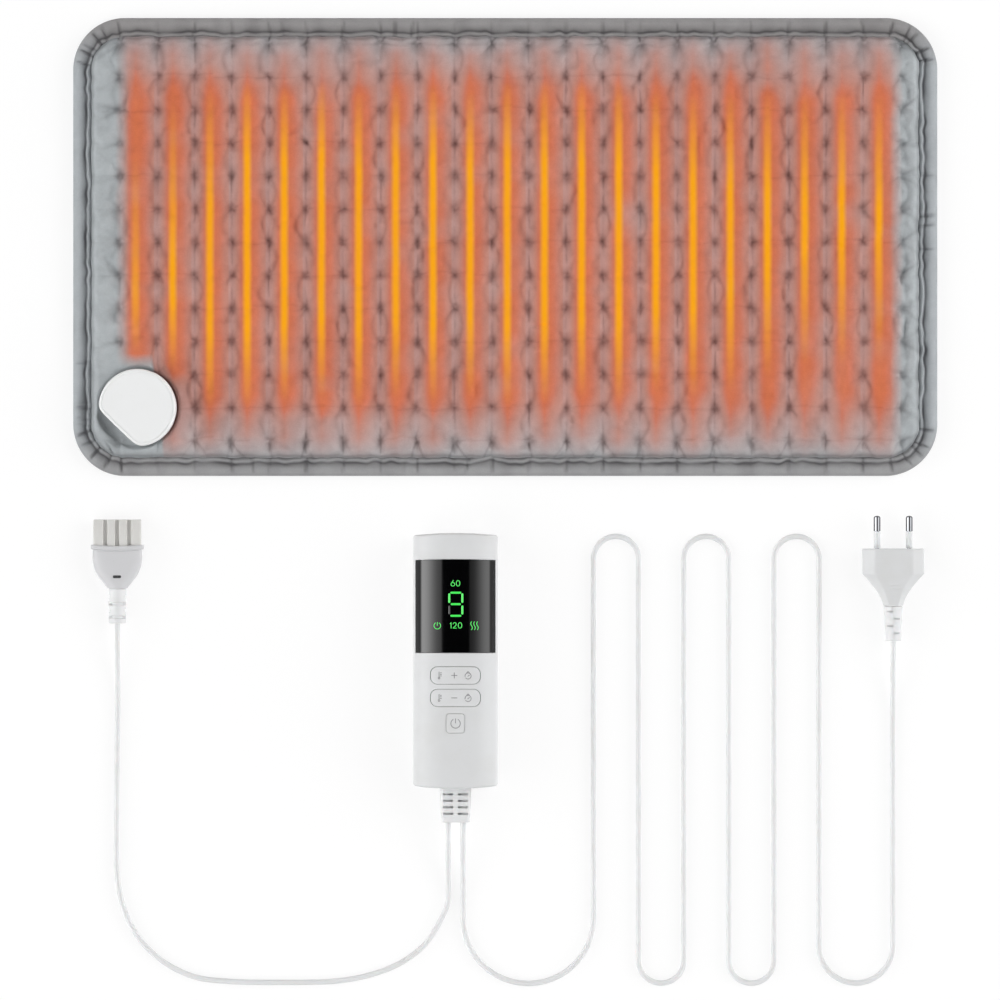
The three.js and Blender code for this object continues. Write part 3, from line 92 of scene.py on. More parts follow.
def smooth_line(points, steps):
    """A centripetal Catmull-Rom curve through points. Between two of them it is a cubic whose end
    slopes are (b-a)/s - (c-a)/(s+t) + (c-b)/t, with s and t the square roots of the distances."""
    points = np.asarray(points, float)
    p = np.vstack([2 * points[0] - points[1], points, 2 * points[-1] - points[-2]])
    gap = np.sqrt(np.linalg.norm(np.diff(p, axis=0), axis=1))[:, None]
    s, t = gap[:-1], gap[1:]
    slope = (p[1:-1] - p[:-2]) / s - (p[2:] - p[:-2]) / (s + t) + (p[2:] - p[1:-1]) / t
    u = np.arange(steps)[:, None, None] / steps
    start, end = p[1:-2], p[2:-1]
    out, back = slope[:-1] * gap[1:-1], slope[1:] * gap[1:-1]
    line = ((2 * u**3 - 3 * u**2 + 1) * start + (u**3 - 2 * u**2 + u) * out
            + (3 * u**2 - 2 * u**3) * end + (u**3 - u**2) * back)
    return np.vstack([line.transpose(1, 0, 2).reshape(-1, 3), p[-2]])


def half_circle(x, y, radius, side, steps=24):
    """A half circle of points on the table, from its left end to its right end, to one side."""
    angle = np.pi * np.arange(steps + 1) / steps
    return np.stack([x - radius * np.cos(angle), y + side * radius * np.sin(angle),
                     np.full(steps + 1, cord_z)], 1)


def tinted(red, green, blue):
    """An sRGB colour from 0 to 255 as linear light: ((c/255 + 0.055) / 1.055) to the power 2.4."""
    share = np.array([red, green, blue]) / 255
    return (*np.where(share > 0.04045, ((share + 0.055) / 1.055) ** 2.4, share / 12.92), 1.0)


def dimmed(colour, share):
    """A colour at a share of its light."""
    return (*(share * c for c in colour[:3]), 1.0)


def feed(tree, made, inputs):
    """Gives inputs of a node their values, or joins them to the sockets given."""
    for key, value in inputs.items():
        if isinstance(value, bpy.types.NodeSocket):
            tree.links.new(value, made.inputs[key])
        else:
            made.inputs[key].default_value = value


def node(tree, kind, inputs=None, **settings):
    """Adds a node with its settings and its inputs."""
    made = tree.nodes.new("ShaderNode" + kind)
    for key, value in settings.items():
        setattr(made, key, value)
    feed(tree, made, inputs or {})
    return made


def spot_on(tree):
    """The place on the object itself, in metres, so that a pattern rides with its piece."""
    return node(tree, "TexCoord").outputs["Object"]


def marked(tree, name):
    """A number that the mesh keeps for each of its points."""
    return node(tree, "Attribute", attribute_name=name).outputs["Fac"]


def sum_of(tree, operation, *values, clamp=False):
    """The output of a Math node on numbers or sockets."""
    made = node(tree, "Math", dict(enumerate(values)), operation=operation, use_clamp=clamp)
    return made.outputs[0]


def product(tree, first, second):
    """Two numbers or sockets multiplied."""
    return sum_of(tree, "MULTIPLY", first, second)


def swayed(tree, value, gain, base, middle=0.5, clamp=False):
    """A base that sways with a value: base + gain times (value - middle)."""
    off = sum_of(tree, "SUBTRACT", value, middle)
    return sum_of(tree, "MULTIPLY_ADD", off, gain, base, clamp=clamp)


def step_of(tree, value, low, high, to_low=0.0, to_high=1.0):
    """A smooth step of a value, from to_low at low to to_high at high."""
    made = node(tree, "MapRange", {0: value, 1: low, 2: high, 3: to_low, 4: to_high},
                interpolation_type="SMOOTHSTEP")
    return made.outputs[0]


def colour_mix(tree, share, first, second, how="MIX"):
    """The output of a colour Mix node."""
    made = node(tree, "Mix", {0: share, 6: first, 7: second}, data_type="RGBA", blend_type=how)
    return made.outputs[2]


def times(tree, first, second):
    """Two colours multiplied."""
    return colour_mix(tree, 1.0, first, second, "MULTIPLY")


def noise_of(tree, place, scale, detail=2.0, roughness=0.5):
    """The output of a Noise texture whose features are one metre / scale across."""
    made = node(tree, "TexNoise", {"Vector": place, "Scale": scale, "Detail": detail,
                                   "Roughness": roughness})
    return made.outputs["Fac"]


def effect(name, inputs, outputs):
    """A new shader group with named sockets. An input is given by its value: four numbers are a
    colour, one number is a number, None is a vector."""
    group = bpy.data.node_groups.new(name, "ShaderNodeTree")
    for label, value in inputs.items():
        kind = "Vector" if value is None else "Float" if isinstance(value, float) else "Color"
        socket = group.interface.new_socket(label, in_out="INPUT", socket_type="NodeSocket" + kind)
        if value is not None:
            socket.default_value = value
    for label, kind in outputs.items():
        group.interface.new_socket(label, in_out="OUTPUT", socket_type="NodeSocket" + kind)
    ins = group.nodes.new("NodeGroupInput").outputs
    outs = group.nodes.new("NodeGroupOutput").inputs
    return group, ins, outs


def put(group, outs, **sockets):
    """Joins sockets to the outputs of a group."""
    for label, socket in sockets.items():
        group.links.new(socket, outs[label])


# Moulded plastic: a fine spark-eroded grain, slow drifts of tone and a few specks of dust.
moulding, ins, outs = effect(
    "moulding", {"Colour": (0.7, 0.7, 0.7, 1.0), "Roughness": 0.4, "Grain": 2500.0, "Soil": 0.5},
    {"Colour": "Color", "Roughness": "Float", "Height": "Float"})
here = spot_on(moulding)
grain = noise_of(moulding, here, ins["Grain"], 2.0)
drift = noise_of(moulding, here, 45.0, 3.0)
dust = step_of(moulding, noise_of(moulding, here, 900.0, 1.0), 0.7, 0.78)
soiled = times(moulding, ins["Colour"], (0.88, 0.865, 0.83, 1.0))
soil = product(moulding, step_of(moulding, drift, 0.42, 0.75), ins["Soil"])
soil = sum_of(moulding, "MULTIPLY_ADD", dust, 0.25, soil, clamp=True)
rough = swayed(moulding, grain, 0.12, swayed(moulding, drift, 0.25, ins["Roughness"]))
put(moulding, outs, Colour=colour_mix(moulding, soil, ins["Colour"], soiled), Roughness=rough,
    Height=grain)


def finish_of(name, settings):
    """A new material and its Principled shader, with some of the shader's inputs set."""
    material = bpy.data.materials.new(name)
    material.use_nodes = True
    surface = material.node_tree.nodes["Principled BSDF"]
    feed(material.node_tree, surface, settings)
    return material, material.node_tree, surface


def raise_by(tree, surface, height, strength, distance):
    """Feeds a height into the shader's normal through a Bump node, its depth in metres."""
    bump = node(tree, "Bump", {"Height": height, "Strength": strength, "Distance": distance})
    tree.links.new(bump.outputs[0], surface.inputs["Normal"])


def plastic(name, colour, roughness, grain=2500.0, soil=0.5, depth=0.00004, settings=None):
    """A moulded plastic of that colour and roughness."""
    material, tree, surface = finish_of(name, settings or {})
    skin = node(tree, "Group", {"Colour": colour, "Roughness": roughness, "Grain": grain,
                                "Soil": soil}, node_tree=moulding).outputs
    feed(tree, surface, {"Base Color": skin["Colour"], "Roughness": skin["Roughness"]})
    raise_by(tree, surface, skin["Height"], 0.6, depth)
    return material


soft_white = plastic("soft_white", tinted(224, 225, 226), 0.5, 1800.0, 0.3, 0.00005,
                     {"Subsurface Weight": 0.04, "Subsurface Scale": 0.002})


def lay_cord(name, points, replaced):
    """A cord through points in millimetres: a curve of one open spline."""
    data = bpy.data.curves.new(name, "CURVE")
    data.dimensions = "3D"
    data.bevel_depth = cord_radius / 1000
    data.bevel_resolution = 5
    data.use_fill_caps = True
    line = data.splines.new("POLY")
    line.points.add(len(points) - 1)
    places = np.column_stack([np.asarray(points) / 1000, np.ones(len(points))])
    line.points.foreach_set("co", places.ravel())
    line.use_smooth = True
    data.materials.append(soft_white)
    made = stand(name, data)
    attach(made, "pad_and_controller")
    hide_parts(replaced)
    return made


connector_x, connector_end_y, connector_z = -224.3, -218.0, 5.5
plug_x, plug_end_y, plug_z = 224.2, -228.1, 7.0
pad_cord_line = smooth_line(np.vstack([
    cord_slope(-33.0, gland_end_y, gland_z, -1),
    [[x, y, cord_z] for x, y in (
        (-37.2, -389), (-46, -403), (-60, -414), (-78, -421.2), (-98, -424.8), (-130, -425.6),
        (-160, -425), (-180, -422.3), (-198, -413.5), (-212, -400), (-221, -382),
        (-224.7, -362), (-225, -335), (-224.6, -290))],
    cord_slope(connector_x, connector_end_y, connector_z, -1)[::-1],
]), 14)
mains_bends = ((13.3, -388.5, 37.75), (64.1, -180.5, 13.05), (90.2, -413, 13.05),
               (116.3, -180.5, 13.05), (142.4, -413, 13.05), (168.5, -180.5, 13.05),
               (202.9, -404.6, 21.35))
mains_cord_line = np.vstack(
    [smooth_line(cord_slope(-24.4, gland_end_y, gland_z, -1), 10)]
    + [half_circle(x, y, r, 1 if k % 2 else -1) for k, (x, y, r) in enumerate(mains_bends)]
    + [smooth_line(cord_slope(plug_x, plug_end_y, plug_z, -1)[::-1], 10)])
pad_cord = lay_cord("pad_lead", pad_cord_line, "pad_cord")
mains_cord = lay_cord("mains_lead", mains_cord_line, "mains_cord")

# Table and light: a white table top, soft daylight from all round, two large soft lamps, low at
# the front left and the back right, and two long light boxes that glossy surfaces mirror.
table_half, table_z = 12.0, -0.0002
table = stand("table", bpy.data.meshes.new("table"))
table.data.from_pydata([(side_x * table_half, side_y * table_half, table_z)
                        for side_x, side_y in ((-1, -1), (1, -1), (1, 1), (-1, 1))],
                       [], [(0, 1, 2, 3)])
table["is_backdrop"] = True
table_top, tree, surface = finish_of("table_top", {
    "Base Color": (0.9, 0.9, 0.9, 1), "Roughness": 0.8, "Specular IOR Level": 0.0})
rays = node(tree, "LightPath").outputs
seen = sum_of(tree, "ADD", sum_of(tree, "ADD", rays["Is Camera Ray"], rays["Is Glossy Ray"]),
              rays["Is Transmission Ray"], clamp=True)
glow = node(tree, "Emission", {"Color": white, "Strength": 1.05})
mixed = node(tree, "MixShader", {0: product(tree, seen, 0.76), 1: surface.outputs[0],
                                 2: glow.outputs[0]})
feed(tree, tree.nodes["Material Output"], {"Surface": mixed.outputs[0]})
table.data.materials.append(table_top)
table_top.cycles.emission_sampling = "NONE"

world = bpy.data.worlds.new("studio")
world.use_nodes = True
scene.world = world
world.cycles.sampling_method = "NONE"
tree = world.node_tree
way = node(tree, "SeparateXYZ", {0: node(tree, "TexCoord").outputs["Generated"]}).outputs
rays = node(tree, "LightPath").outputs


def light_box(side, start, first_share):
    """Where one of the light boxes stands: it brightens outwards from beside the table."""
    box = product(tree, step_of(tree, way["X"], side * start, side * 0.84, first_share, 1.0),
                  step_of(tree, way["Z"], 0.2, 0.46))
    return product(tree, box, step_of(tree, way["X"], side * 0.18, side * 0.22))


left_power, right_power, side_power, sky_power = 8.0, 4.2, 3.5, 0.24
low_wall = step_of(tree, way["Z"], 0.12, 0.4, 1.0, 0.02)
mirrored = sum_of(tree, "MULTIPLY_ADD", light_box(-1, 0.2, 0.2), left_power,
                  sum_of(tree, "MULTIPLY_ADD", light_box(1, 0.22, 0.12), right_power, low_wall))
mirrored = product(tree, mirrored, rays["Is Glossy Ray"])
clear = sum_of(tree, "ADD", rays["Is Camera Ray"], rays["Is Transmission Ray"], clamp=True)
beside = product(tree, step_of(tree, sum_of(tree, "ABSOLUTE", way["X"]), 0.62, 0.94),
                 step_of(tree, way["Z"], 0.0, 0.2))
ambient = sum_of(tree, "SUBTRACT", sum_of(tree, "SUBTRACT", 1.0, clear), rays["Is Glossy Ray"],
                 clamp=True)
ambient = product(tree, ambient, sum_of(tree, "MULTIPLY_ADD", beside, side_power, sky_power))
strength = sum_of(tree, "ADD", sum_of(tree, "ADD", mirrored, clear), ambient)
feed(tree, tree.nodes["Background"], {"Strength": strength, "Color": white})


def lamp(name, place, target, side, power):
    """A soft square lamp at a place, turned to a target, that mirrors don't show."""
    data = bpy.data.lights.new(name, "AREA")
    data.shape, data.size, data.size_y, data.energy = "RECTANGLE", side, side, power
    made = stand(name, data)
    made.location = place
    aim = np.subtract(target, place)
    made.rotation_euler = (np.arccos(-aim[2] / np.linalg.norm(aim)), 0,
                           np.arctan2(aim[1], aim[0]) - np.pi / 2)
    made.visible_glossy = False


lamp("front_lamp", (-1.5, -1.8, 2.0), (0, -0.15, 0), 2.0, 24)
lamp("back_lamp", (2.0, 0.9, 1.8), (0, -0.15, 0), 2.0, 22)

# Edge tape: a strip of plush folded round the edge of the pad and sewn through. The stitch
# draws a narrow ridge along its inner side, and the tape puckers where it turns a corner.
pad_half_x, pad_half_y, corner_radius = 250.0, 132.5, 30.0
core_x, core_y = pad_half_x - corner_radius, pad_half_y - corner_radius
corner_arc = corner_radius * np.pi / 2
tuft_x0, tuft_y0, tuft_span_x, tuft_span_y = -222.4, -112.0, 450.6, 229.5
last_column, last_row = 21, 12
tuft_pitch_x, tuft_pitch_y = tuft_span_x / last_column, tuft_span_y / last_row
seam_z = 4.4


def share_of(value, whole):
    """A value as a share of a whole, held between 0 and 1."""
    return np.clip(value / whole, 0, 1)


def bell(away, width):
    """A bell curve that is 1 in its middle: e to the minus (distance / width) squared."""
    return np.exp(-((away / width) ** 2))


def weave(rows, columns, close_rows=False, close_columns=True):
    """The quads between neighbours of a grid of points, row by row."""
    r, c = np.meshgrid(np.arange(rows if close_rows else rows - 1),
                       np.arange(columns if close_columns else columns - 1), indexing="ij")
    r2, c2 = (r + 1) % rows, (c + 1) % columns
    quads = np.stack([r * columns + c, r * columns + c2, r2 * columns + c2, r2 * columns + c], -1)
    return quads.reshape(-1, 4)


def make_mesh(points, faces):
    """A mesh from points in millimetres and arrays of faces. Its volume, the sum of the products
    of three corners of its triangles, says whether the faces have to be turned to face out."""
    points = np.asarray(points, float).reshape(-1, 3) / 1000
    volume = sum(np.einsum("ij,ij->", points[f[:, 0]],
                           np.cross(points[f[:, k]], points[f[:, k + 1]]))
                 for f in faces for k in range(1, f.shape[1] - 1))
    faces = [f[:, ::-1] if volume < 0 else f for f in faces]
    sizes = np.concatenate([np.full(len(f), f.shape[1]) for f in faces])
    mesh = bpy.data.meshes.new("mesh")
    mesh.vertices.add(len(points))
    mesh.vertices.foreach_set("co", points.astype(np.float32).ravel())
    mesh.loops.add(int(sizes.sum()))
    mesh.loops.foreach_set("vertex_index", np.concatenate([f.ravel() for f in faces]))
    mesh.polygons.add(len(sizes))
    mesh.polygons.foreach_set("loop_start", np.concatenate([[0], np.cumsum(sizes)[:-1]]))
    mesh.update(calc_edges=True)
    mesh.validate()
    return mesh


def add_piece(name, mesh, material, replaced=(), body="pad_and_controller", sharp=38):
    """An object of its own from a mesh, smooth but for its sharp edges, that rides on a body."""
    mesh.name = name
    made = stand(name, mesh)
    mesh.shade_smooth()
    if sharp < 180:
        mesh.set_sharp_from_angle(angle=np.radians(sharp))
    mesh.materials.clear()
    mesh.materials.append(material)
    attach(made, body)
    if replaced:
        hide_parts(*replaced)
    return made


def waves(along, total, count, seed, strength=1.0, first=3):
    """A closed random wave: a sum of sines with random phases, less for the shorter ones."""
    dice = np.random.default_rng(seed)
    turns = np.arange(first, first + count)
    phase = dice.uniform(0, 2 * np.pi, count)
    share = dice.normal(0, 1, count) / np.sqrt(count)
    angle = 2 * np.pi * turns[:, None] * along[None] / total + phase[:, None]
    return strength * (share[:, None] * np.sin(angle)).sum(0)


def edge_stations(spacing):
    """Stations round the pad's rounded edge: places, outward directions and lengths along it."""
    total = 2 * (2 * core_x + 2 * core_y) + 4 * corner_arc
    along = np.arange(int(total / spacing)) * total / int(total / spacing)
    place, out = np.zeros((len(along), 2)), np.zeros((len(along), 2))
    start = 0.0
    for k, (side_x, side_y) in enumerate(((1, 1), (-1, 1), (-1, -1), (1, -1))):
        centre = np.array([side_x * core_x, side_y * core_y])
        on_arc = (along >= start) & (along < start + corner_arc)
        angle = (k + (along[on_arc] - start) / corner_arc) * np.pi / 2
        way = np.stack([np.cos(angle), np.sin(angle)], 1)
        place[on_arc], out[on_arc] = centre + corner_radius * way, way
        start += corner_arc
        run = 2 * (core_y if k % 2 else core_x)
        on_run = (along >= start) & (along < start + run)
        way = np.array([np.cos((k + 1) * np.pi / 2), np.sin((k + 1) * np.pi / 2)])
        ahead = np.array([-way[1], way[0]])
        place[on_run] = centre + corner_radius * way + (along[on_run] - start)[:, None] * ahead
        out[on_run] = way
        start += run
    return place, out, along, total


# The plush effect: fine fibres, a brushed nap and broad drifts of tone, and painted shade
# that darkens its creases.
plush, ins, outs = effect(
    "plush", {"Colour": (0.36, 0.38, 0.39, 1.0), "Pile": 1500.0, "Nap": 0.5, "Crease Shade": 0.0},
    {"Colour": "Color", "Height": "Float"})
here = spot_on(plush)
fibre = noise_of(plush, here, ins["Pile"], 3.0, 0.65)
nap = noise_of(plush, here, 170.0, 3.0, 0.6)
drift = noise_of(plush, here, 28.0, 3.0)
tone = swayed(plush, nap, ins["Nap"], swayed(plush, drift, 0.45, 0.5))
tone = swayed(plush, fibre, 0.5, tone, clamp=True)
brushed = colour_mix(plush, tone, times(plush, ins["Colour"], (0.74, 0.74, 0.75, 1)),
                     times(plush, ins["Colour"], (1.22, 1.22, 1.22, 1)))
# Painted shade: in the creases the colour falls to about a third of its light.
painted_shade_colour = times(plush, brushed, (0.3, 0.29, 0.3, 1))
height = sum_of(plush, "MULTIPLY_ADD", nap, 1.4, fibre)
put(plush, outs, Colour=colour_mix(plush, ins["Crease Shade"], brushed, painted_shade_colour), Height=height)


def plush_cloth(name, colour, pile=1500.0, nap=0.5, depth=0.0004):
    """A short-piled cloth: the plush effect on a rough surface with a soft sheen."""
    material, tree, surface = finish_of(name, {
        "Roughness": 0.95, "Specular IOR Level": 0.15, "Sheen Weight": 0.25,
        "Sheen Roughness": 0.6})
    skin = node(tree, "Group", {"Colour": colour, "Pile": pile, "Nap": nap,
                                "Crease Shade": marked(tree, "crease_shade")}, node_tree=plush).outputs
    feed(tree, surface, {"Base Color": skin["Colour"]})
    raise_by(tree, surface, skin["Height"], 0.5, depth)
    return material, tree, surface, skin


def mark(mesh, name, values):
    """Keeps one number per point of a mesh as an attribute that its material reads."""
    layer = mesh.attributes.new(name, "FLOAT", "POINT")
    layer.data.foreach_set("value", np.asarray(values, np.float32).ravel())


def edge_tape():
    """The tape's section, a C of inset and height, carried round the edge. The ridge and its two
    grooves wander by a random wave, the fold swells and sinks by another, and at each pucker a
    narrow bell-shaped dent runs across the tape."""
    top_first, top_last = 6, 24
    section = np.array([
        (9.3, 0.0), (6.0, 0.0), (3.2, 0.0), (1.7, 0.25), (0.7, 0.9), (0.15, 1.9), (0.0, 3.0),
        (0.2, 4.1), (0.8, 5.1), (1.6, 5.85), (2.6, 6.35), (3.7, 6.5), (4.9, 6.2), (5.8, 5.7),
        (6.5, 5.1), (7.1, 4.6), (7.5, seam_z), (7.9, 4.6), (8.3, 5.2), (8.7, 5.8),
        (9.1, 6.0), (9.6, 5.8), (10.1, 5.3), (10.6, 4.8), (11.4, seam_z), (11.0, 4.2),
        (6.0, 4.2), (1.3, 4.2), (1.1, 3.8), (1.1, 1.4), (1.3, 1.0), (6.0, 1.0), (9.3, 1.0)])
    place, out, along, total = edge_stations(1.25)
    dice = np.random.default_rng(4)
    wander = waves(along, total, 60, 1, 0.6, 8) + waves(along, total, 90, 2, 0.28, 100)
    wander = wander + 0.8 * np.clip(out[:, 1], 0, 1)
    swell = waves(along, total, 50, 3, 0.3, 6) + waves(along, total, 80, 5, 0.1, 90)
    starts = np.cumsum([0.0] + [corner_arc + 2 * core for core in (core_x, core_y, core_x)])
    tufts = tuft_x0 + tuft_pitch_x * np.arange(1, last_column) + pad_half_x - corner_radius
    puckers = np.concatenate(
        [start + corner_arc * (np.arange(5) + dice.uniform(0.25, 0.75, 5)) / 5
         for start in starts]
        + [dice.uniform(0, total, 20), 2 * core_x + corner_arc - tufts,
           starts[2] + corner_arc + tufts])
    depths = np.concatenate([dice.uniform(0.45, 0.9, 20), dice.uniform(0.12, 0.55, 60)])
    widths = np.concatenate([dice.uniform(0.9, 1.7, 20), dice.uniform(0.8, 1.5, 60)])
    slants = dice.uniform(-0.25, 0.25, 80)
    for place_k, pull in zip(puckers[40:], dice.uniform(-0.8, 0.9, 40).clip(0)):
        away = (along - place_k + total / 2) % total - total / 2
        wander = wander + pull * bell(away, 2.4)
    inner, height = section.T
    top = (np.arange(len(section)) > top_first) & (np.arange(len(section)) < top_last)
    inset = inner + wander[:, None] * share_of(inner - 5.0, 1.6) * top
    fold = np.sin(share_of(inner, 7.5) * np.pi) * top
    z = height + swell[:, None] * fold
    across = share_of(inner, 3.0) * top
    # A mask of painted shade, darkest in the dents where the tape puckers.
    crease_shade = np.zeros_like(z)
    for place_k, depth, width, slant in zip(puckers, depths, widths, slants):
        away = along[:, None] - place_k - slant * (inner - 5)
        away = (away + total / 2) % total - total / 2
        dent = bell(away, width) * across
        ruck = bell(away - 2.2 * width, 1.2 * width) * across
        z = z - depth * dent + 0.35 * depth * ruck
        crease_shade = np.maximum(crease_shade, 1.15 * depth * dent**2)
    z[:, top] = np.maximum(z[:, top], seam_z)
    # Painted shade in the grooves beside the stitched ridge and along the tape's outer edge.
    groove_shade = (0.6 * bell(inner - 7.5, 0.8) + 0.32 * bell(inner - 6.6, 1.7)
               + 0.6 * bell(inner - 10.7, 0.6) + 0.2 * bell(inner, 1.2)) * top
    groove_shade = groove_shade * (1 + waves(along, total, 70, 6, 0.25, 20))[:, None]
    # Painted shade along the top and bottom runs of the tape, stronger and weaker at random.
    shade = np.clip(waves(along, total, 60, 7, 0.15, 30), 0, 1) * np.abs(out[:, 1])
    shade = shade[:, None] * top
    crease_shade = np.clip(crease_shade + groove_shade + shade, 0, 1)
    points = np.empty((len(along), len(section), 3))
    points[..., :2] = place[:, None] - out[:, None] * inset[..., None]
    points[..., 2] = z
    mesh = make_mesh(points, [weave(len(along), len(section), True)])
    mark(mesh, "crease_shade", crease_shade)
    # Painted shade: the top run, and a little less the bottom run, are darkened and warmed.
    top_bottom_shade = np.clip(out[:, 1], 0, 1) + 0.75 * np.clip(-out[:, 1], 0, 1)
    mark(mesh, "top_bottom_shade", np.repeat(top_bottom_shade, len(section)))
    return mesh


tape_plush, tree, surface, skin = plush_cloth("tape_plush", tinted(176, 181, 184), 1700.0, 0.4,
                                              0.0003)
# The tape's colour in painted shade, darker and a little warmer, for the top and bottom runs.
warm_painted_light = times(tree, skin["Colour"], (0.715, 0.65, 0.62, 1))
feed(tree, surface, {"Base Color": colour_mix(tree, marked(tree, "top_bottom_shade"), skin["Colour"], warm_painted_light)})
tape = add_piece("binding", edge_tape(), tape_plush, ["edge_tape"], sharp=180)

# Back of the pad: one sheet of the same plush, cut to the rounded shape and drawn in a little
# by each tuft that is sewn through it. Its rim lies inside the fold of the tape.


def rounded(x, y, inset):
    """Takes a rectangle onto the pad's rounded shape, a distance in from its edge. In a corner's
    square of side r, with a and b measured from the arc's centre, a goes to a sqrt(1 - b2 / 2r2)
    and b to b sqrt(1 - a2 / 2r2), which takes the square onto a quarter of a circle."""
    r = corner_radius - inset
    a, b = np.maximum(np.abs(x) - core_x, 0), np.maximum(np.abs(y) - core_y, 0)
    new_a = a * np.sqrt(1 - b**2 / (2 * r * r))
    new_b = b * np.sqrt(1 - a**2 / (2 * r * r))
    return (np.sign(x) * (np.minimum(np.abs(x), core_x) + new_a),
            np.sign(y) * (np.minimum(np.abs(y), core_y) + new_b))


def slab(low, high):
    """The points and faces of a closed piece between two grids, walled round their edges."""
    rows, columns = low.shape[:2]
    count = rows * columns
    index = np.arange(count).reshape(rows, columns)
    edge = np.concatenate([index[0, :-1], index[:-1, -1], index[-1, :0:-1], index[:0:-1, 0]])
    after = np.roll(edge, -1)
    wall = np.stack([edge, after, after + count, edge + count], 1)
    grid = weave(rows, columns, close_columns=False)
    return (np.vstack([low.reshape(-1, 3), high.reshape(-1, 3)]),
            [grid[:, ::-1], grid + count, wall])


def flat_sheet(inset, cell, height_of, thickness):
    """A sheet of cloth over the pad's rounded shape, the same thickness all over."""
    half_x, half_y = pad_half_x - inset, pad_half_y - inset
    columns, rows = int(2 * half_x / cell) + 1, int(2 * half_y / cell) + 1
    x, y = np.meshgrid(np.linspace(-half_x, half_x, columns), np.linspace(-half_y, half_y, rows))
    round_x, round_y = rounded(x, y, inset)
    low = np.stack([round_x, round_y, height_of(x, y)], -1)
    return make_mesh(*slab(low, low + [0, 0, thickness]))


def tuft_distance(x, y):
    """How far a place is from the nearest tuft."""
    column = np.clip(np.round((x - tuft_x0) / tuft_pitch_x), 0, last_column)
    row = np.clip(np.round((y - tuft_y0) / tuft_pitch_y), 0, last_row)
    return np.hypot((x - tuft_x0) - tuft_pitch_x * column, (y - tuft_y0) - tuft_pitch_y * row)


def back_height(x, y):
    """Flat on the table, lifted to the middle of the tape at the rim, with a dimple at each tuft
    whose depth falls off as a bell."""
    rim = np.minimum(pad_half_x - np.abs(x), pad_half_y - np.abs(y))
    lifted = 1.35 * (1 - share_of(rim - 9.4, 3.2) ** 0.5)
    return lifted + 0.7 * bell(tuft_distance(x, y), 2.6)


back_plush = plush_cloth("back_plush", tinted(146, 151, 154), 1300.0, 0.6, 0.0003)[0]
back_cloth = add_piece("back_cloth", flat_sheet(1.5, 2.4, back_height, 0.9), back_plush,
                       ["bottom_cover"], sharp=180)

# Quilted top: plush over wadding, sewn down at every tuft of the grid. Between two tufts of a
# column the plush stands up as a small pod between two creases, and between the columns it
# rises as a channel over a run of the heating wire, with a glow painted over it.
quilt_inset = 6.5
quilt_half_x, quilt_half_y = pad_half_x - quilt_inset, pad_half_y - quilt_inset
wire_x0 = -213.4
wadding_z, crown, pit, rim_z = 6.4, 5.4, 1.2, 3.9
seam_inset, quilt_bottom_z, quilt_rim_z, wall_inset = 10.5, 6.35, 2.9, 14.2
socket_x, socket_y, socket_turn = -212.1, -93.1, np.radians(-44)
socket_radius, under_socket_z = 22.3, 6.9


def cells(stops, counts):
    """Places along one side of a grid: even steps between the stops, so many between each two."""
    parts = [np.linspace(a, b, n, endpoint=False) for a, b, n in zip(stops, stops[1:], counts)]
    return np.concatenate(parts + [[stops[-1]]])


def random_drift(x, y, cell, seed):
    """A smooth random field: random values on a square lattice, joined by smooth steps."""
    dice = np.random.default_rng(seed)
    lattice = dice.normal(0, 1, (int(600 / cell) + 3, int(400 / cell) + 3))
    u, v = (x + 290) / cell, (y + 190) / cell
    i, j = u.astype(int), v.astype(int)
    f, g = u - i, v - j
    f, g = f * f * (3 - 2 * f), g * g * (3 - 2 * g)
    return (lattice[i, j] * (1 - f) * (1 - g) + lattice[i + 1, j] * f * (1 - g)
            + lattice[i, j + 1] * (1 - f) * g + lattice[i + 1, j + 1] * f * g)


def edge_distance(x, y):
    """How far a place of the plush's grid lies from the pad's edge, once its corners are round."""
    x, y = rounded(x, y, quilt_inset)
    rim = np.minimum(pad_half_x - np.abs(x), pad_half_y - np.abs(y))
    a, b = np.abs(x) - core_x, np.abs(y) - core_y
    return np.where((a > 0) & (b > 0), corner_radius - np.hypot(a, b), rim)


def past_socket(x, y):
    """How far a place lies outside the socket."""
    return np.hypot(x - socket_x, y - socket_y) - socket_radius


def quilt_height(x, y):
    """The wadded height before the cloth settles. With s and t the sines of the way across a cell
    from tuft to tuft, a column rises from the pit by t, the channel between columns is crowned
    by s, and outside the grid the wadding slopes down to the sewn rim."""
    u = np.clip((x - tuft_x0) / tuft_pitch_x, 0, last_column)
    v = np.clip((y - tuft_y0) / tuft_pitch_y, 0, last_row)
    s, t = np.abs(np.sin(np.pi * u)), np.abs(np.sin(np.pi * v))
    column = pit + 2.0 * t**0.8
    z = wadding_z + column * (1 - s**0.75) + (crown - 0.7 * (1 - t)) * s**0.75
    off = np.hypot(x - (tuft_x0 + tuft_pitch_x * u), y - (tuft_y0 + tuft_pitch_y * v))
    z = z + 1.1 * (1 - bell(off, 5)) * (1 - s**0.75)
    share = share_of(edge_distance(x, y) - 10.4, 5.2)
    z = rim_z + (z - rim_z) * np.sin(share * np.pi / 2) ** 0.8
    return np.minimum(z, under_socket_z + 2.6 * np.maximum(past_socket(x, y) - 0.4, 0))


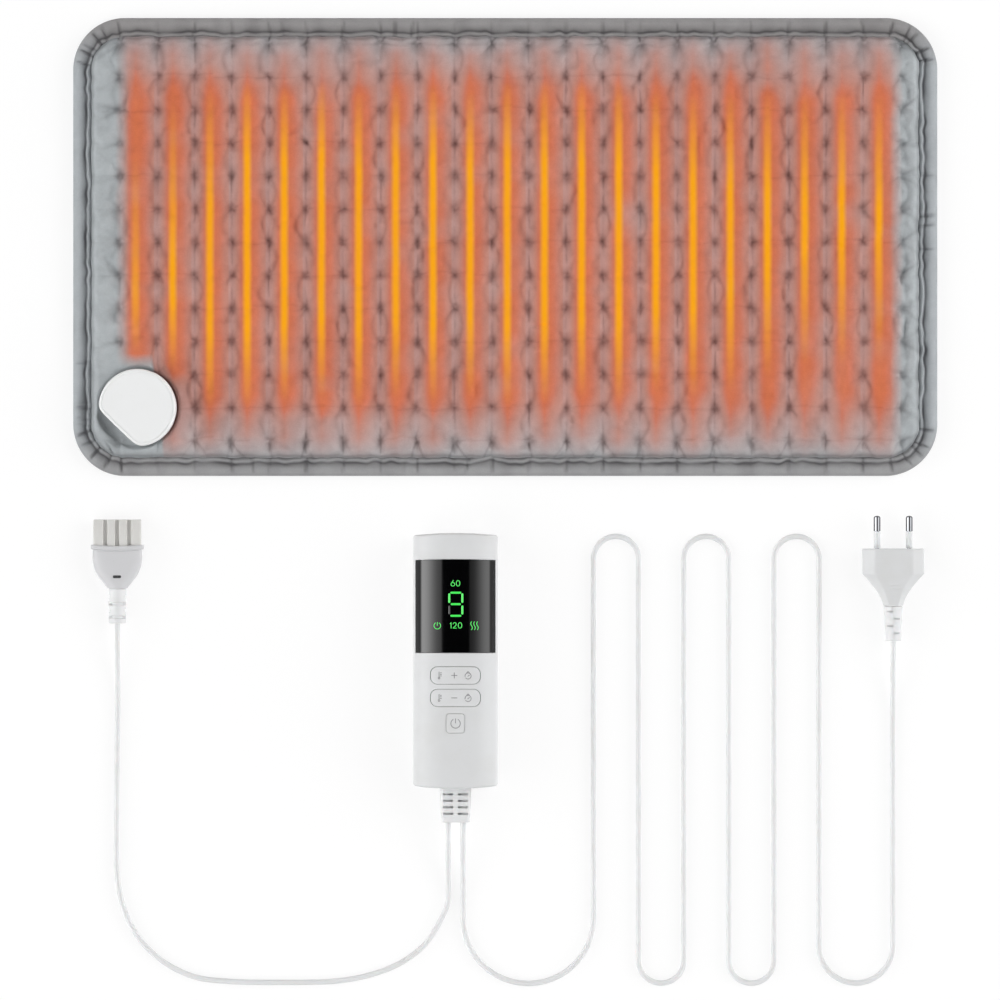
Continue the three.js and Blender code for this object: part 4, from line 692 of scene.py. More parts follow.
def sewn_cloth(x, y, z, pins, run_frames=20, cap=3.2):
    """Lets the plush settle as cloth: it is cut larger than the ground it covers, the wadding's
    pressure lifts it, and stitches hold it at the pins. No point moves more than the cap."""
    rows, columns = x.shape
    start = np.stack([x, y, z], -1)
    trial = stand("plush_trial", make_mesh(start, [weave(rows, columns, close_columns=False)]))
    sewn = trial.vertex_groups.new(name="sewn")
    for k in np.flatnonzero(pins.ravel()):
        sewn.add([int(k)], 1.0, "REPLACE")
    settle = trial.modifiers.new("wadding", "CLOTH")
    cloth = settle.settings
    cloth.quality = 7
    cloth.mass = 0.12
    cloth.tension_stiffness = cloth.compression_stiffness = 12
    cloth.shear_stiffness = 4
    cloth.bending_stiffness = 0.12
    cloth.air_damping = 2.0
    cloth.use_pressure = True
    cloth.uniform_pressure_force = 3.0
    cloth.shrink_min = -0.07
    cloth.vertex_group_mass = "sewn"
    cloth.effector_weights.gravity = 0
    settle.point_cache.frame_start, settle.point_cache.frame_end = 1, run_frames
    for moment in range(1, run_frames + 1):
        scene.frame_set(moment)
    settled = trial.evaluated_get(bpy.context.evaluated_depsgraph_get()).data
    places = np.empty(rows * columns * 3, np.float32)
    settled.vertices.foreach_get("co", places)
    scene.frame_set(1)
    bpy.data.objects.remove(trial)
    move = places.reshape(rows, columns, 3) * 1000 - start
    size = np.linalg.norm(move, axis=-1, keepdims=True)
    move = move * (cap * np.tanh(size / cap) / np.maximum(size, 1e-6)) * (0.6, 0.6, 1)
    framed = np.pad(move, ((1, 1), (1, 1), (0, 0)), "edge")
    around = framed[:-2, 1:-1] + framed[2:, 1:-1] + framed[1:-1, :-2] + framed[1:-1, 2:]
    return np.where(pins[..., None], move, 0.6 * move + 0.1 * around)


def finer(values, parts):
    """Catmull-Rom steps between the values along the first axis, in so many parts each."""
    v = np.concatenate([2 * values[:1] - values[1:2], values, 2 * values[-1:] - values[-2:-1]])
    made = []
    for k in range(parts):
        u = k / parts
        weights = (-0.5 * u + u**2 - 0.5 * u**3, 1 - 2.5 * u**2 + 1.5 * u**3,
                   0.5 * u + 2 * u**2 - 1.5 * u**3, -0.5 * u**2 + 0.5 * u**3)
        made.append(sum(w * v[i:len(v) - 3 + i] for i, w in enumerate(weights)))
    lines = np.stack(made, 1).reshape(-1, *values.shape[1:])
    return np.concatenate([lines, values[-1:]])


def fine_cloth():
    """The plush's grid, and how far the cloth run moved its places, made four times finer."""
    xs = cells((-quilt_half_x, tuft_x0, tuft_x0 + tuft_span_x, quilt_half_x),
               (6, 7 * last_column, 6))
    ys = cells((-quilt_half_y, tuft_y0, tuft_y0 + tuft_span_y, quilt_half_y),
               (5, 6 * last_row, 3))
    x, y = np.meshgrid(xs, ys)
    pins = (tuft_distance(x, y) < 1.5) | (edge_distance(x, y) < 10.6) | (past_socket(x, y) < 1.5)
    loose = np.random.default_rng(7).normal(0, 0.12, x.shape) * ~pins
    move = np.zeros((*x.shape, 3))
    move = sewn_cloth(*rounded(x, y, quilt_inset), quilt_height(x, y) + loose, pins)
    move[..., 2] += loose
    fields = np.dstack([x, y, move]).transpose(1, 0, 2)
    fields = finer(finer(fields, 4).transpose(1, 0, 2), 4)
    return fields[..., 0], fields[..., 1], fields[..., 2:]


def pod_marks(dice, u, v, k):
    """For each pod a crease at plus and minus its half width, and a swell between the two."""
    pod = np.clip(np.floor(v), -1, last_row).astype(int) + 1

    def per_pod(low, high):
        return dice.uniform(low, high, (last_column + 1, last_row + 2))[k, pod]

    half, shift = per_pod(3.2, 5.0), per_pod(-0.6, 0.6)
    left, right = per_pod(-0.3, 1.1).clip(0.05), per_pod(-0.3, 1.1).clip(0.05)
    plump, blur = per_pod(0.5, 1.2), per_pod(1.1, 2.3)
    way = np.sin(np.pi * np.clip(v - np.floor(v), 0, 1))
    bow = half * way**0.75
    middle = (u - k) * tuft_pitch_x - shift * way
    valley = np.where(middle < 0, left, right) * way**0.35 * bell(np.abs(middle) - bow, blur)
    swell = plump * way * np.clip(1 - (middle / np.maximum(bow, 0.4)) ** 2, 0, 1)
    return valley, swell


def tuft_marks(dice, u, v, k, j):
    """For each tuft a pit with a knot in it, six short rays round it, at the grid's edge two pulls
    out over the border, and to some neighbours a tuck. Returns the sideways offsets too."""
    def per_tuft(low, high, column=k):
        return dice.uniform(low, high, (last_column + 1, last_row + 1))[column, j]

    off_x = (u - k) * tuft_pitch_x - per_tuft(-0.5, 0.5)
    off_y = (v - j) * tuft_pitch_y - per_tuft(-0.6, 0.6)
    dimple = bell(np.hypot(off_x, off_y), 2.8)
    lobe = per_tuft(0, 2 * np.pi)
    knot = np.exp(-(((off_x - 0.7 * np.cos(lobe)) ** 2 + (off_y - 0.7 * np.sin(lobe)) ** 2) / 0.8))
    rays = np.zeros_like(u)
    for ray in range(6):
        angle = (ray + per_tuft(0.1, 0.9)) * np.pi / 3
        strength, reach = per_tuft(-0.2, 1.0).clip(0), per_tuft(2.2, 5.5)
        ahead = off_x * np.cos(angle) + off_y * np.sin(angle)
        across = off_y * np.cos(angle) - off_x * np.sin(angle)
        across = across + 0.5 * np.sin(ahead / 2.4 + ray)
        rays = np.maximum(rays, strength * (ahead > 0) * bell(across, 0.55)
                          * bell(ahead, reach) * (1 - bell(ahead, 1.2)))
    pulls = np.zeros_like(u)
    for ahead, across, beyond, wide, share in (
            (off_y * np.sign(v - last_row / 2), off_x, (v < 0) | (v > last_row), 0.7, 1.0),
            (off_x * np.sign(u - last_column / 2), off_y, (u < 0) | (u > last_column), 1.4, 0.7)):
        for side in (-1, 1):
            lean, strength = side * per_tuft(0.15, 0.8), share * per_tuft(0.0, 1.0)
            pulls = np.maximum(pulls, strength * beyond * (ahead > 0)
                               * bell(across - lean * ahead, wide)
                               * bell(ahead, 12) * (1 - bell(ahead, 1.6)))
    bridge = per_tuft(0, 1, np.clip(np.floor(u), 0, last_column).astype(int))
    bridge = bridge + 0.35 * ((j < 2) | (j == last_row))
    sag = 1.5 * np.sin(np.pi * (u - np.floor(u))) * np.sin(j * 2.3 + k)
    tuck = (bridge > 0.72) * 0.55 * bell(off_y - sag, 0.6) * (u < last_column)
    return off_x, dimple, knot, rays, pulls, tuck


def closed_quilt(x, y, top):
    """A mesh of the top's grid of points, walled down into the tape and closed underneath."""
    columns, rows = x.shape
    count = rows * columns
    index = np.arange(count).reshape(columns, rows)
    edge = np.concatenate([index[:-1, 0], index[-1, :-1], index[:0:-1, -1], index[0, :0:-1]])
    flat_x, flat_y, ring = x.ravel()[edge], y.ravel()[edge], len(edge)
    points = [top.reshape(-1, 3)]
    for inset, height in ((quilt_inset, quilt_rim_z), (wall_inset, quilt_rim_z),
                          (wall_inset, quilt_bottom_z)):
        ring_x, ring_y = rounded(flat_x * (pad_half_x - inset) / quilt_half_x,
                                 flat_y * (pad_half_y - inset) / quilt_half_y, inset)
        points.append(np.stack([ring_x, ring_y, np.full(ring, height)], 1))
    points = np.vstack([*points, [[0, 0, quilt_bottom_z]]])
    chain = [edge] + [count + n * ring + np.arange(ring) for n in range(3)]
    walls = [np.stack([a, b, np.roll(b, -1), np.roll(a, -1)], 1) for a, b in zip(chain, chain[1:])]
    cap = np.stack([chain[3], np.full(ring, count + 3 * ring), np.roll(chain[3], -1)], 1)
    grid = weave(columns, rows, close_columns=False)
    return make_mesh(points, [grid[:, ::-1], *walls, cap])


def glow_masks(dice, x, y):
    """How strongly the painted glow shows over each run of wire: its amber core, the hot halo
    beside it, and the warm tint round it. The amber starts at its own place at the top of a run and
    stops at another at its foot, and comes in and goes out over a length that the outer runs have
    longer."""
    run = (x - wire_x0) / tuft_pitch_x
    stripe = np.clip(np.round(run), 0, last_column - 1).astype(int)

    def per_run(wires, values, spread=0):
        value = np.interp(np.arange(last_column), wires, values)
        return (value + (dice.uniform(-spread, spread, last_column) if spread else 0))[stripe]

    start_y = per_run((0, 1, 3, 16, 20), (52, 86, 94, 92, 88), 4)
    rise = per_run((0, 1, 3, 14, 20), (110, 92, 44, 48, 66))
    stop_y = per_run((0, 1, 2, 14, 20), (-64, -73, -90, -88, -64), 4)
    fall = per_run((0, 2, 14, 20), (34, 44, 46, 76))
    power = dice.uniform(0.92, 1.0, last_column)[stripe]
    amber_glow = power * share_of(start_y - y, rise) * share_of(y - stop_y, fall)
    wisp = 0.06 * random_drift(x, y, 26.0, 31) + 0.05 * random_drift(x, y, 11.0, 32)
    cool_y = np.interp(run, (0.5, 1.0, 1.4, 1.7), (-70, -82, -86, -115))
    cooling = np.interp(run, (0.5, 1.4, 1.7), (8, 14, 31))
    hot_glow = (np.clip((115 - y) / 31 + wisp, 0, 1)
               * np.clip((y - cool_y) / cooling + wisp, 0, 1))
    over_socket = share_of(0.75 - run, 0.3)
    out_x = np.maximum(np.maximum(-0.2 - run, run - 20.3), 0) * tuft_pitch_x
    warm_glow = (np.clip((129 - y) / 18 + wisp, 0, 1) * np.clip(1 - out_x / 7.5 + wisp, 0, 1)
            * np.clip((y + 125 - 55 * over_socket) / (15 - 7 * over_socket) + wisp, 0, 1))
    between = 2 * np.abs(run - np.round(run))
    return amber_glow, hot_glow, warm_glow * (1 - 0.56 * between * share_of(np.abs(y - 1) - 91, 19.5))


def quilted_plush():
    """The settled cloth with the marks of the needle worked into it and slow folds in its plain
    border. It keeps four masks for its material: painted shade in its creases, and the amber, hot
    and warm parts of its painted glow."""
    x, y, move = fine_cloth()
    dice = np.random.default_rng(11)
    u, v = (x - tuft_x0) / tuft_pitch_x, (y - tuft_y0) / tuft_pitch_y
    k = np.clip(np.round(u), 0, last_column).astype(int)
    j = np.clip(np.round(v), 0, last_row).astype(int)
    on_grid = (u > -0.5) & (u < last_column + 0.5) & (v > -0.6) & (v < last_row + 0.6)
    inside = on_grid & (v > -0.02) & (v < last_row + 0.02)
    off_grid = ~((u > 0) & (u < last_column) & (v > 0) & (v < last_row))
    valley, swell = (part * inside for part in pod_marks(dice, u, v, k))
    off_x, dimple, knot, rays, pulls, tuck = tuft_marks(dice, u, v, k, j)
    dimple, knot, rays, tuck = dimple * on_grid, knot * on_grid, rays * on_grid, tuck * inside

    rim = edge_distance(x, y)
    quiet = np.clip((past_socket(x, y) - 3) / 14, 0.15, 1)
    border, pulls = share_of(rim - seam_inset, 4) * off_grid * quiet, pulls * quiet
    fold = random_drift(x, y, 9.0, 21)
    fine_fold = random_drift(x + 0.6 * y, y * 0.5, 5.0, 22)
    z = (quilt_height(x, y) - 0.6 * valley + 0.9 * swell - 1.1 * dimple - 0.55 * rays
         - 0.3 * tuck - 0.8 * pulls)
    z = z + 0.4 * knot + border * (0.75 * fold - 0.5 * np.abs(fine_fold))
    z = z + 0.22 * random_drift(x, y, 6.5, 23) * share_of(rim - seam_inset, 3)
    # Painted shade: the cloth darkens in its valleys, pits, rays, tucks and pulls, with less of it
    # on the knot in each tuft.
    crease_shade = 0.22 * valley + 0.2 * dimple + 0.3 * rays + 0.22 * tuck + 0.55 * pulls - 0.32 * knot
    # More painted shade: a dark line along the sewn rim, a band inside the top and bottom rims, and
    # round the top row of tufts.
    rim_shade = 0.17 * bell(rim - 11, 4.5) * share_of(np.abs(y) - 106, 6)
    top_pit_shade = 0.34 * np.exp(-((off_x / 4.2) ** 2) - ((y - 114.5) / 5.5) ** 2)
    crease_shade = np.clip(crease_shade + 0.4 * bell(rim - 11.6, 0.8) + rim_shade + top_pit_shade, 0, 1)

    round_x, round_y = rounded(x, y, quilt_inset)
    calm = share_of(rim - 9.0, 2) * quiet
    z = z + move[..., 2] * calm
    under_socket = share_of(past_socket(x, y) + 0.2, 1.2)
    z = np.where(under_socket < 1, np.minimum(z, under_socket_z + 1.0 * under_socket), z)
    z = np.maximum(z, np.where(rim > 14, quilt_bottom_z + 0.2, 3.6))
    top = np.stack([round_x + move[..., 0] * calm, round_y + move[..., 1] * calm, z], -1)
    mesh = closed_quilt(x, y, top)
    below = np.zeros(len(mesh.vertices) - x.size)
    for label, values in zip(("crease_shade", "amber_glow", "hot_glow", "warm_glow"),
                             (crease_shade, *glow_masks(dice, x, y))):
        mark(mesh, label, np.concatenate([values.ravel(), below]))
    return mesh


# The painted glow: a bright amber core over each run of wire, salmon beside it and dusty rose
# between the runs, painted into the plush's colour, and at the core light of its own. The
# distance to the nearest run, in pitches, picks the colour.
wire_glow, ins, outs = effect(
    "wire_glow", {"Plush": (0.4, 0.4, 0.4, 1.0), "Shade": (0.4, 0.4, 0.4, 1.0), "Amber Glow": 0.0,
                  "Hot Glow": 0.0, "Warm Glow": 0.0}, {"Colour": "Color", "Light": "Color"})
here = node(wire_glow, "SeparateXYZ", {0: spot_on(wire_glow)}).outputs
ripple = noise_of(wire_glow, spot_on(wire_glow), 60.0, 2.0)
turns = sum_of(wire_glow, "MULTIPLY_ADD", here["X"], 1000 / tuft_pitch_x,
               0.5 - wire_x0 / tuft_pitch_x)
turns = sum_of(wire_glow, "ADD", turns,
               sum_of(wire_glow, "MULTIPLY_ADD", ripple, 0.03, -0.015))
held = sum_of(wire_glow, "MINIMUM", sum_of(wire_glow, "MAXIMUM", turns, 0.001),
              last_column - 0.001)
centre = sum_of(wire_glow, "ADD", sum_of(wire_glow, "FLOOR", held), 0.5)
aside = sum_of(wire_glow, "SUBTRACT", turns, centre)
away = sum_of(wire_glow, "ABSOLUTE", aside)
leaning = sum_of(wire_glow, "SUBTRACT", away, product(wire_glow, aside, 0.26))
spread = swayed(wire_glow, ripple, 0.06, leaning)
cooled = swayed(wire_glow, spread, ins["Hot Glow"], 0.5)
halo = node(wire_glow, "ValToRGB", {0: cooled})
stops = ((0.0, (216, 119, 79)), (0.12, (213, 117, 82)), (0.2, (208, 122, 96)),
         (0.3, (198, 134, 117)), (0.4, (192, 142, 130)), (0.5, (191, 146, 137)))
for k, (place, colour) in enumerate(stops):
    stop = halo.color_ramp.elements[k] if k < 2 else halo.color_ramp.elements.new(place)
    stop.position, stop.color = place, tinted(*colour)
core = step_of(wire_glow, away, 0.015, 0.168, 1.0, 0.0)
core = product(wire_glow, core, ins["Amber Glow"])
# Painted shade turns browner in the creases under the painted glow.
grey = node(wire_glow, "RGBToBW", {0: ins["Shade"]}).outputs[0]
browner_shade_tint = colour_mix(wire_glow, grey, (1.06, 0.82, 0.76, 1.0), white)
brightness = times(wire_glow, times(wire_glow, halo.outputs[0], ins["Shade"]), browner_shade_tint)
warm_painted_light = colour_mix(wire_glow, ins["Warm Glow"], ins["Plush"], brightness)
amber_glow = tinted(250, 168, 4)
put(wire_glow, outs, Colour=colour_mix(wire_glow, core, warm_painted_light, dimmed(amber_glow, 0.5)),
    Light=colour_mix(wire_glow, core, (0, 0, 0, 1), dimmed(amber_glow, 0.52)))

glowing_plush, tree, surface, skin = plush_cloth("glowing_plush", tinted(178, 183, 185))
# The painted shade of the creases, in grey, darkens the painted glow as well.
shade = node(tree, "Group", {"Colour": white, "Pile": 1500.0, "Nap": 0.35,
                             "Crease Shade": marked(tree, "crease_shade")}, node_tree=plush)
glow = node(tree, "Group", {
    "Plush": skin["Colour"], "Shade": shade.outputs["Colour"], "Amber Glow": marked(tree, "amber_glow"),
    "Hot Glow": marked(tree, "hot_glow"), "Warm Glow": marked(tree, "warm_glow")}, node_tree=wire_glow).outputs
# The painted glow goes into the base colour, and at the amber core into light of its own.
feed(tree, surface, {"Base Color": glow["Colour"], "Emission Color": glow["Light"],
                     "Emission Strength": 1.0, "Sheen Weight": 0.1})
quilt = add_piece("quilted_plush", quilted_plush(), glowing_plush, ["quilted_top"],
                  sharp=180)

# Socket: a white moulded housing over the wire's ends, round but for its straight mouth, and
# screwed down through the quilt. A lid with a fine step round its face closes the bay.
socket_mouth = 16.3
housing_z, bay_z, bay_top_z, lid_z, lid_top_z = 7.3, 8.8, 16.6, 16.9, 19.7
bay_half, bay_back, wall_lip = 14.2, 13.5, 0.6
housing_screw_x, housing_screw_y, wire_hole_y = 18, 2, 10.6
dull = {"Specular IOR Level": 0.3}
satin_white = plastic("satin_white", tinted(216, 217, 218), 0.45, 2600.0, 0.3, 0.00003, dull)


def placed(points, x, y, z=0.0, turn=0.0):
    """Points turned about Z and then moved, from a piece's own frame into the pad's."""
    points = np.asarray(points, float)
    c, s = np.cos(turn), np.sin(turn)
    return np.stack([x + points[..., 0] * c - points[..., 1] * s,
                     y + points[..., 0] * s + points[..., 1] * c, z + points[..., 2]], -1)


def in_socket(points):
    """From the socket's frame, whose mouth opens along -Y, into the pad's."""
    return placed(points, socket_x, socket_y, 0.0, socket_turn)


def pebble(inset, z, steps=160):
    """A ring of the housing's outline. Its reach at an angle blends a circle and the mouth's
    straight line: (circle to the -16 + line to the -16) to the -1/16."""
    angle = 2 * np.pi * np.arange(steps) / steps
    line = (np.maximum(-np.sin(angle), 0) / (socket_mouth - inset)) ** 16
    reach = ((socket_radius - inset) ** -16.0 + line) ** (-1 / 16)
    return np.stack([reach * np.cos(angle), reach * np.sin(angle), np.full(steps, z)], 1)


def body_over(rings, flat_ends=False):
    """A closed body over rings of points: quads between the rings, and from each end ring a fan
    to its middle, or one flat face over it."""
    rings = np.asarray(rings, float)
    count, around = rings.shape[:2]
    ring = np.arange(around)
    if flat_ends:
        ends = [ring[::-1][None], (count - 1) * around + ring[None]]
        return make_mesh(rings, [weave(count, around), *ends])
    after, last = np.roll(ring, -1), (count - 1) * around
    low = np.stack([np.full(around, count * around), after, ring], 1)
    high = np.stack([np.full(around, count * around + 1), last + ring, last + after], 1)
    points = np.vstack([rings.reshape(-1, 3), rings[0].mean(0), rings[-1].mean(0)])
    return make_mesh(points, [weave(count, around), low, high])


def rounded_ring(half_x, half_y, radius, steps=10):
    """A rectangle with round corners as one ring of places: four quarter circles in turn."""
    angle = np.pi / 2 * (np.arange(4)[:, None] + np.arange(steps + 1) / steps)
    side_x, side_y = np.array([[1], [-1], [-1], [1]]), np.array([[1], [1], [-1], [-1]])
    return np.stack([side_x * (half_x - radius) + radius * np.cos(angle),
                     side_y * (half_y - radius) + radius * np.sin(angle)], -1).reshape(-1, 2)


def upright(outline, heights, x=0.0, y=0.0):
    """Rings of one outline at several heights."""
    outline = np.asarray(outline) + (x, y)
    return [np.column_stack([outline, np.full(len(outline), z)]) for z in heights]


def lathe(profile, steps=40, x=0.0, z=0.0):
    """Rings of a profile, given as radius and place along Y, carried round an axis along Y."""
    angle = 2 * np.pi * np.arange(steps) / steps
    circle = np.stack([np.cos(angle), np.zeros(steps), np.sin(angle)], 1)
    radius, place = np.asarray(profile, float).T[..., None, None]
    return radius * circle + place * np.array([0, 1, 0]) + (x, 0, z)


def shaped(mesh, joined=(), cutters=(), kept=()):
    """Joins closed meshes to a mesh, keeps what lies inside others and cuts the last ones out of
    it, by exact booleans on trial objects that are then removed."""
    made = stand("trial", mesh)
    trials = [made]
    for how, tools in (("UNION", joined), ("INTERSECT", kept), ("DIFFERENCE", cutters)):
        for tool in tools:
            trials.append(stand("tool", tool))
            step = made.modifiers.new("step", "BOOLEAN")
            step.operation, step.object, step.solver = how, trials[-1], "EXACT"
    evaluated = made.evaluated_get(bpy.context.evaluated_depsgraph_get())
    result = bpy.data.meshes.new_from_object(evaluated)
    for trial in trials:
        spent = trial.data
        bpy.data.objects.remove(trial)
        bpy.data.meshes.remove(spent)
    return result


def socket_base():
    """The outline carried up to the lid with a lip below, less the bay, a hole for the wires and
    two for the screws."""
    shell = [pebble(wall_lip, housing_z), pebble(wall_lip / 4, housing_z + wall_lip / 4),
             pebble(0, housing_z + wall_lip), pebble(0, bay_top_z - 0.25),
             pebble(0.08, bay_top_z - 0.08), pebble(0.25, bay_top_z)]
    bay = upright(rounded_ring(bay_half, (bay_back + socket_mouth + 2) / 2, 1.0),
                  (bay_z, bay_top_z + 2), 0, (bay_back - socket_mouth - 2) / 2)
    wires = upright(rounded_ring(7.85, 2.2, 1.0), (housing_z - 1, bay_z + 1), 0, wire_hole_y)
    holes = [upright(rounded_ring(1.4, 1.4, 1.39), (housing_z - 1, housing_z + 5.3), x,
                     housing_screw_y) for x in (-housing_screw_x, housing_screw_x)]
    return shaped(body_over(in_socket(shell)),
                  cutters=[body_over(in_socket(c)) for c in (bay, wires, *holes)])


def socket_cover(edge_radius=1.3):
    """The outline with a quarter-round edge, a shallow step inside it and a flat face."""
    edge = [pebble(edge_radius - edge_radius * np.cos(a),
                   lid_top_z - edge_radius + edge_radius * np.sin(a))
            for a in np.radians(np.arange(0, 91, 15))]
    step = [pebble(1.5, lid_top_z), pebble(1.6, lid_top_z - 0.35), pebble(1.85, lid_top_z - 0.35)]
    face, middle = pebble(2.0, lid_top_z), np.array([0, 2.2, lid_top_z])
    return body_over(in_socket(
        [pebble(0.35, lid_z), pebble(0.06, lid_z + 0.12), pebble(0, lid_z + 0.4), *edge, *step]
        + [middle + (face - middle) * share for share in (1, 0.75, 0.5, 0.25)]))


lid_white = plastic("lid_white", tinted(239, 240, 240), 0.45, 2600.0, 0.2, 0.00003, dull)
add_piece("socket_base", socket_base(), satin_white, ["socket_body"])
add_piece("socket_cover", socket_cover(), lid_white, ["socket_lid"])

# Socket pins: four nickel-plated pins through the terminal block, one for each rib of the
# connector's nose. The middle two reach back to the ends of the heating wire.
pin_pitch, pin_z, pin_radius, pin_reach = 6.9, 12.7, 0.9, 8.0
pin_places = (np.arange(4) - 1.5) * pin_pitch


def metal(name, colour, roughness, brushed, scale=(1.0, 1.0, 1.0)):
    """A bare metal with fine scratches along the piece and a little tarnish."""
    material, tree, surface = finish_of(name, {"Metallic": 1.0})
    here = node(tree, "Mapping", {"Vector": spot_on(tree), "Scale": scale}).outputs[0]
    scratch = noise_of(tree, here, 3000.0, 2.0)
    tarnish = noise_of(tree, spot_on(tree), 220.0, 3.0)
    tarnished = colour_mix(tree, step_of(tree, tarnish, 0.45, 0.8, 0.0, 0.4), colour,
                           dimmed(colour, 0.72))
    feed(tree, surface, {"Base Color": tarnished,
                         "Roughness": swayed(tree, scratch, brushed, roughness)})
    raise_by(tree, surface, scratch, 0.3, 0.00001)
    return material


nickel = metal("nickel_plate", tinted(122, 123, 126), 0.05, 0.04, (1.0, 0.05, 1.0))
for k, (x, back) in enumerate(zip(pin_places, (8.5, 11.7, 11.7, 8.5))):
    profile = ((pin_radius - 0.2, back), (pin_radius, back - 0.2), (pin_radius, 1.1 - pin_reach),
               (0.75, 0.5 - pin_reach), (0.45, 0.1 - pin_reach), (0.2, -pin_reach))
    add_piece(f"bay_pin_{k + 1}", body_over(in_socket(lathe(profile, 24, x, pin_z))), nickel,
              [f"socket_pin_{k + 1}"])

# Connector: a ribbed ivory nose with four sprung contacts, moulded into a flat white grip with a
# collar. The grip narrows to a slotted tail that keeps the cord from kinking.
connector_y = -172.5
nose_half, nose_half_z, nose_end = 13.8, 3.5, 14.8
groove_half, groove_depth, rib_crown = 1.4, 1.8, 0.18
collar_half, collar_half_z, collar_bow = 15.3, 5.3, 1.0
grip_length, grip_half_z, neck_radius, slot_y = 23.6, 5.5, 4.8, -18.25
grip_start, connector_tail_y = -1.3, connector_y - 25.2
ivory = plastic("ivory_plastic", tinted(214, 213, 210), 0.5, 2400.0, 0.4, 0.00003, dull)


def in_connector(points):
    """From the connector's frame, at the face of its collar, into the pad's."""
    return placed(points, connector_x, connector_y, connector_z)


def evened(x, z, y, steps):
    """An upright ring of places at even steps along a closed line."""
    run = np.concatenate([[0], np.cumsum(np.hypot(np.diff(x), np.diff(z)))])
    even = np.arange(steps) * run[-1] / steps
    return np.stack([np.interp(even, run, x), np.full(steps, float(y)),
                     np.interp(even, run, z)], 1)


def oval(half_x, half_z, y, power, steps=120):
    """An upright ring at even steps: x = a |cos|^(2/p) and z = b |sin|^(2/p), with their signs."""
    angle = np.linspace(0, 2 * np.pi, 1441)
    c, s = np.cos(angle), np.sin(angle)
    return evened(half_x * np.sign(c) * np.abs(c) ** (2 / power),
                  half_z * np.sign(s) * np.abs(s) ** (2 / power), y, steps)


def nose_section():
    """The X and Z of a ring round the nose: a flat oval of power 10, with three soft-edged
    grooves pressed into each face and a slight crown on the ribs beside them."""
    corner = nose_half * (1 - np.linspace(0, 1, 12) ** 3 * 0.03)
    x = np.concatenate([corner, np.linspace(nose_half * 0.97, -nose_half * 0.97, 170)[1:-1],
                        -corner[::-1]])
    edge = nose_half_z * np.maximum(1 - (np.abs(x) / nose_half) ** 10, 0) ** 0.1
    near = np.abs(x - pin_pitch * np.clip(np.round(x / pin_pitch), -1, 1))
    share = share_of(groove_half - near, 0.55)
    top = np.minimum(edge, nose_half_z - groove_depth * share * share * (3 - 2 * share))
    on_face = rib_crown * (edge > 3.2)
    top = top - on_face * (share < 1) + on_face * share_of(near - groove_half, 2.05)
    ring_x = np.concatenate([x, x[-2:0:-1]])
    return ring_x, np.concatenate([top, -top[-2:0:-1]])


def nose_body():
    """The nose's section carried along it, rounded by 0.35 mm at its front, less four bores."""
    x, z = nose_section()
    rings = []
    for y, inset in ((-0.6, 0), (nose_end - 0.35, 0), (nose_end - 0.12, 0.12), (nose_end, 0.35)):
        rings.append(np.stack([x * (1 - inset / nose_half), np.full(len(x), y),
                               z * (1 - inset / nose_half_z)], 1))
    bore = [(2.0, 3.2), (2.0, nose_end - 0.3), (2.3, nose_end + 0.02), (2.3, nose_end + 1)]
    return shaped(body_over(in_connector(rings), True),
                  cutters=[body_over(in_connector(lathe(bore, 28, x))) for x in pin_places])


def grip_body():
    """Rings of a flat oval. The collar is 2.6 mm long and bowed, a groove parts it from the grip,
    and the grip narrows along a smooth curve to a round neck. A narrow slot is cut in its face."""
    collar = [(0.0, collar_half - 0.5, collar_half_z - 0.4, 6), (-0.12, collar_half - 0.2, 5.15, 6),
              (-0.45, collar_half, collar_half_z, 6), (-2.1, collar_half, collar_half_z, 6),
              (-2.45, collar_half - 0.2, 5.1, 6), (-2.6, collar_half - 0.6, 4.9, 5.5),
              (-2.7, 14.0, 4.85, 5), (-3.0, 13.95, 4.85, 5)]
    shares = smooth_line([(0.93, 0, 0), (0.935, 0.14, 0), (0.94, 0.25, 0), (0.9, 0.45, 0),
                          (0.78, 0.65, 0), (0.58, 0.83, 0), (0.38, 1, 0)], 7)
    for width, along in shares[:, :2]:
        y = grip_start - along * grip_length
        if y < -3.2:
            half_z = grip_half_z + (neck_radius - grip_half_z) * along
            collar.append((y, max(neck_radius, width * collar_half), half_z, 4.4 - 2.3 * along))
    end = grip_start - grip_length
    collar += [(end - 0.01, neck_radius - 0.12, neck_radius - 0.12, 2.0),
               (end - 0.02, neck_radius - 0.5, neck_radius - 0.5, 2.0)]
    rings = np.array([oval(a, b, y, p) for y, a, b, p in collar])
    bow = share_of(rings[..., 1] + 9, 9) * collar_bow
    rings[..., 1] += bow * ((rings[..., 0] / collar_half) ** 2 - 0.7)
    slot = upright(rounded_ring(2.4, 0.85, 0.6), (grip_half_z - 1.7, grip_half_z + 2), 0, slot_y)
    return shaped(body_over(in_connector(rings)), cutters=[body_over(in_connector(slot))])


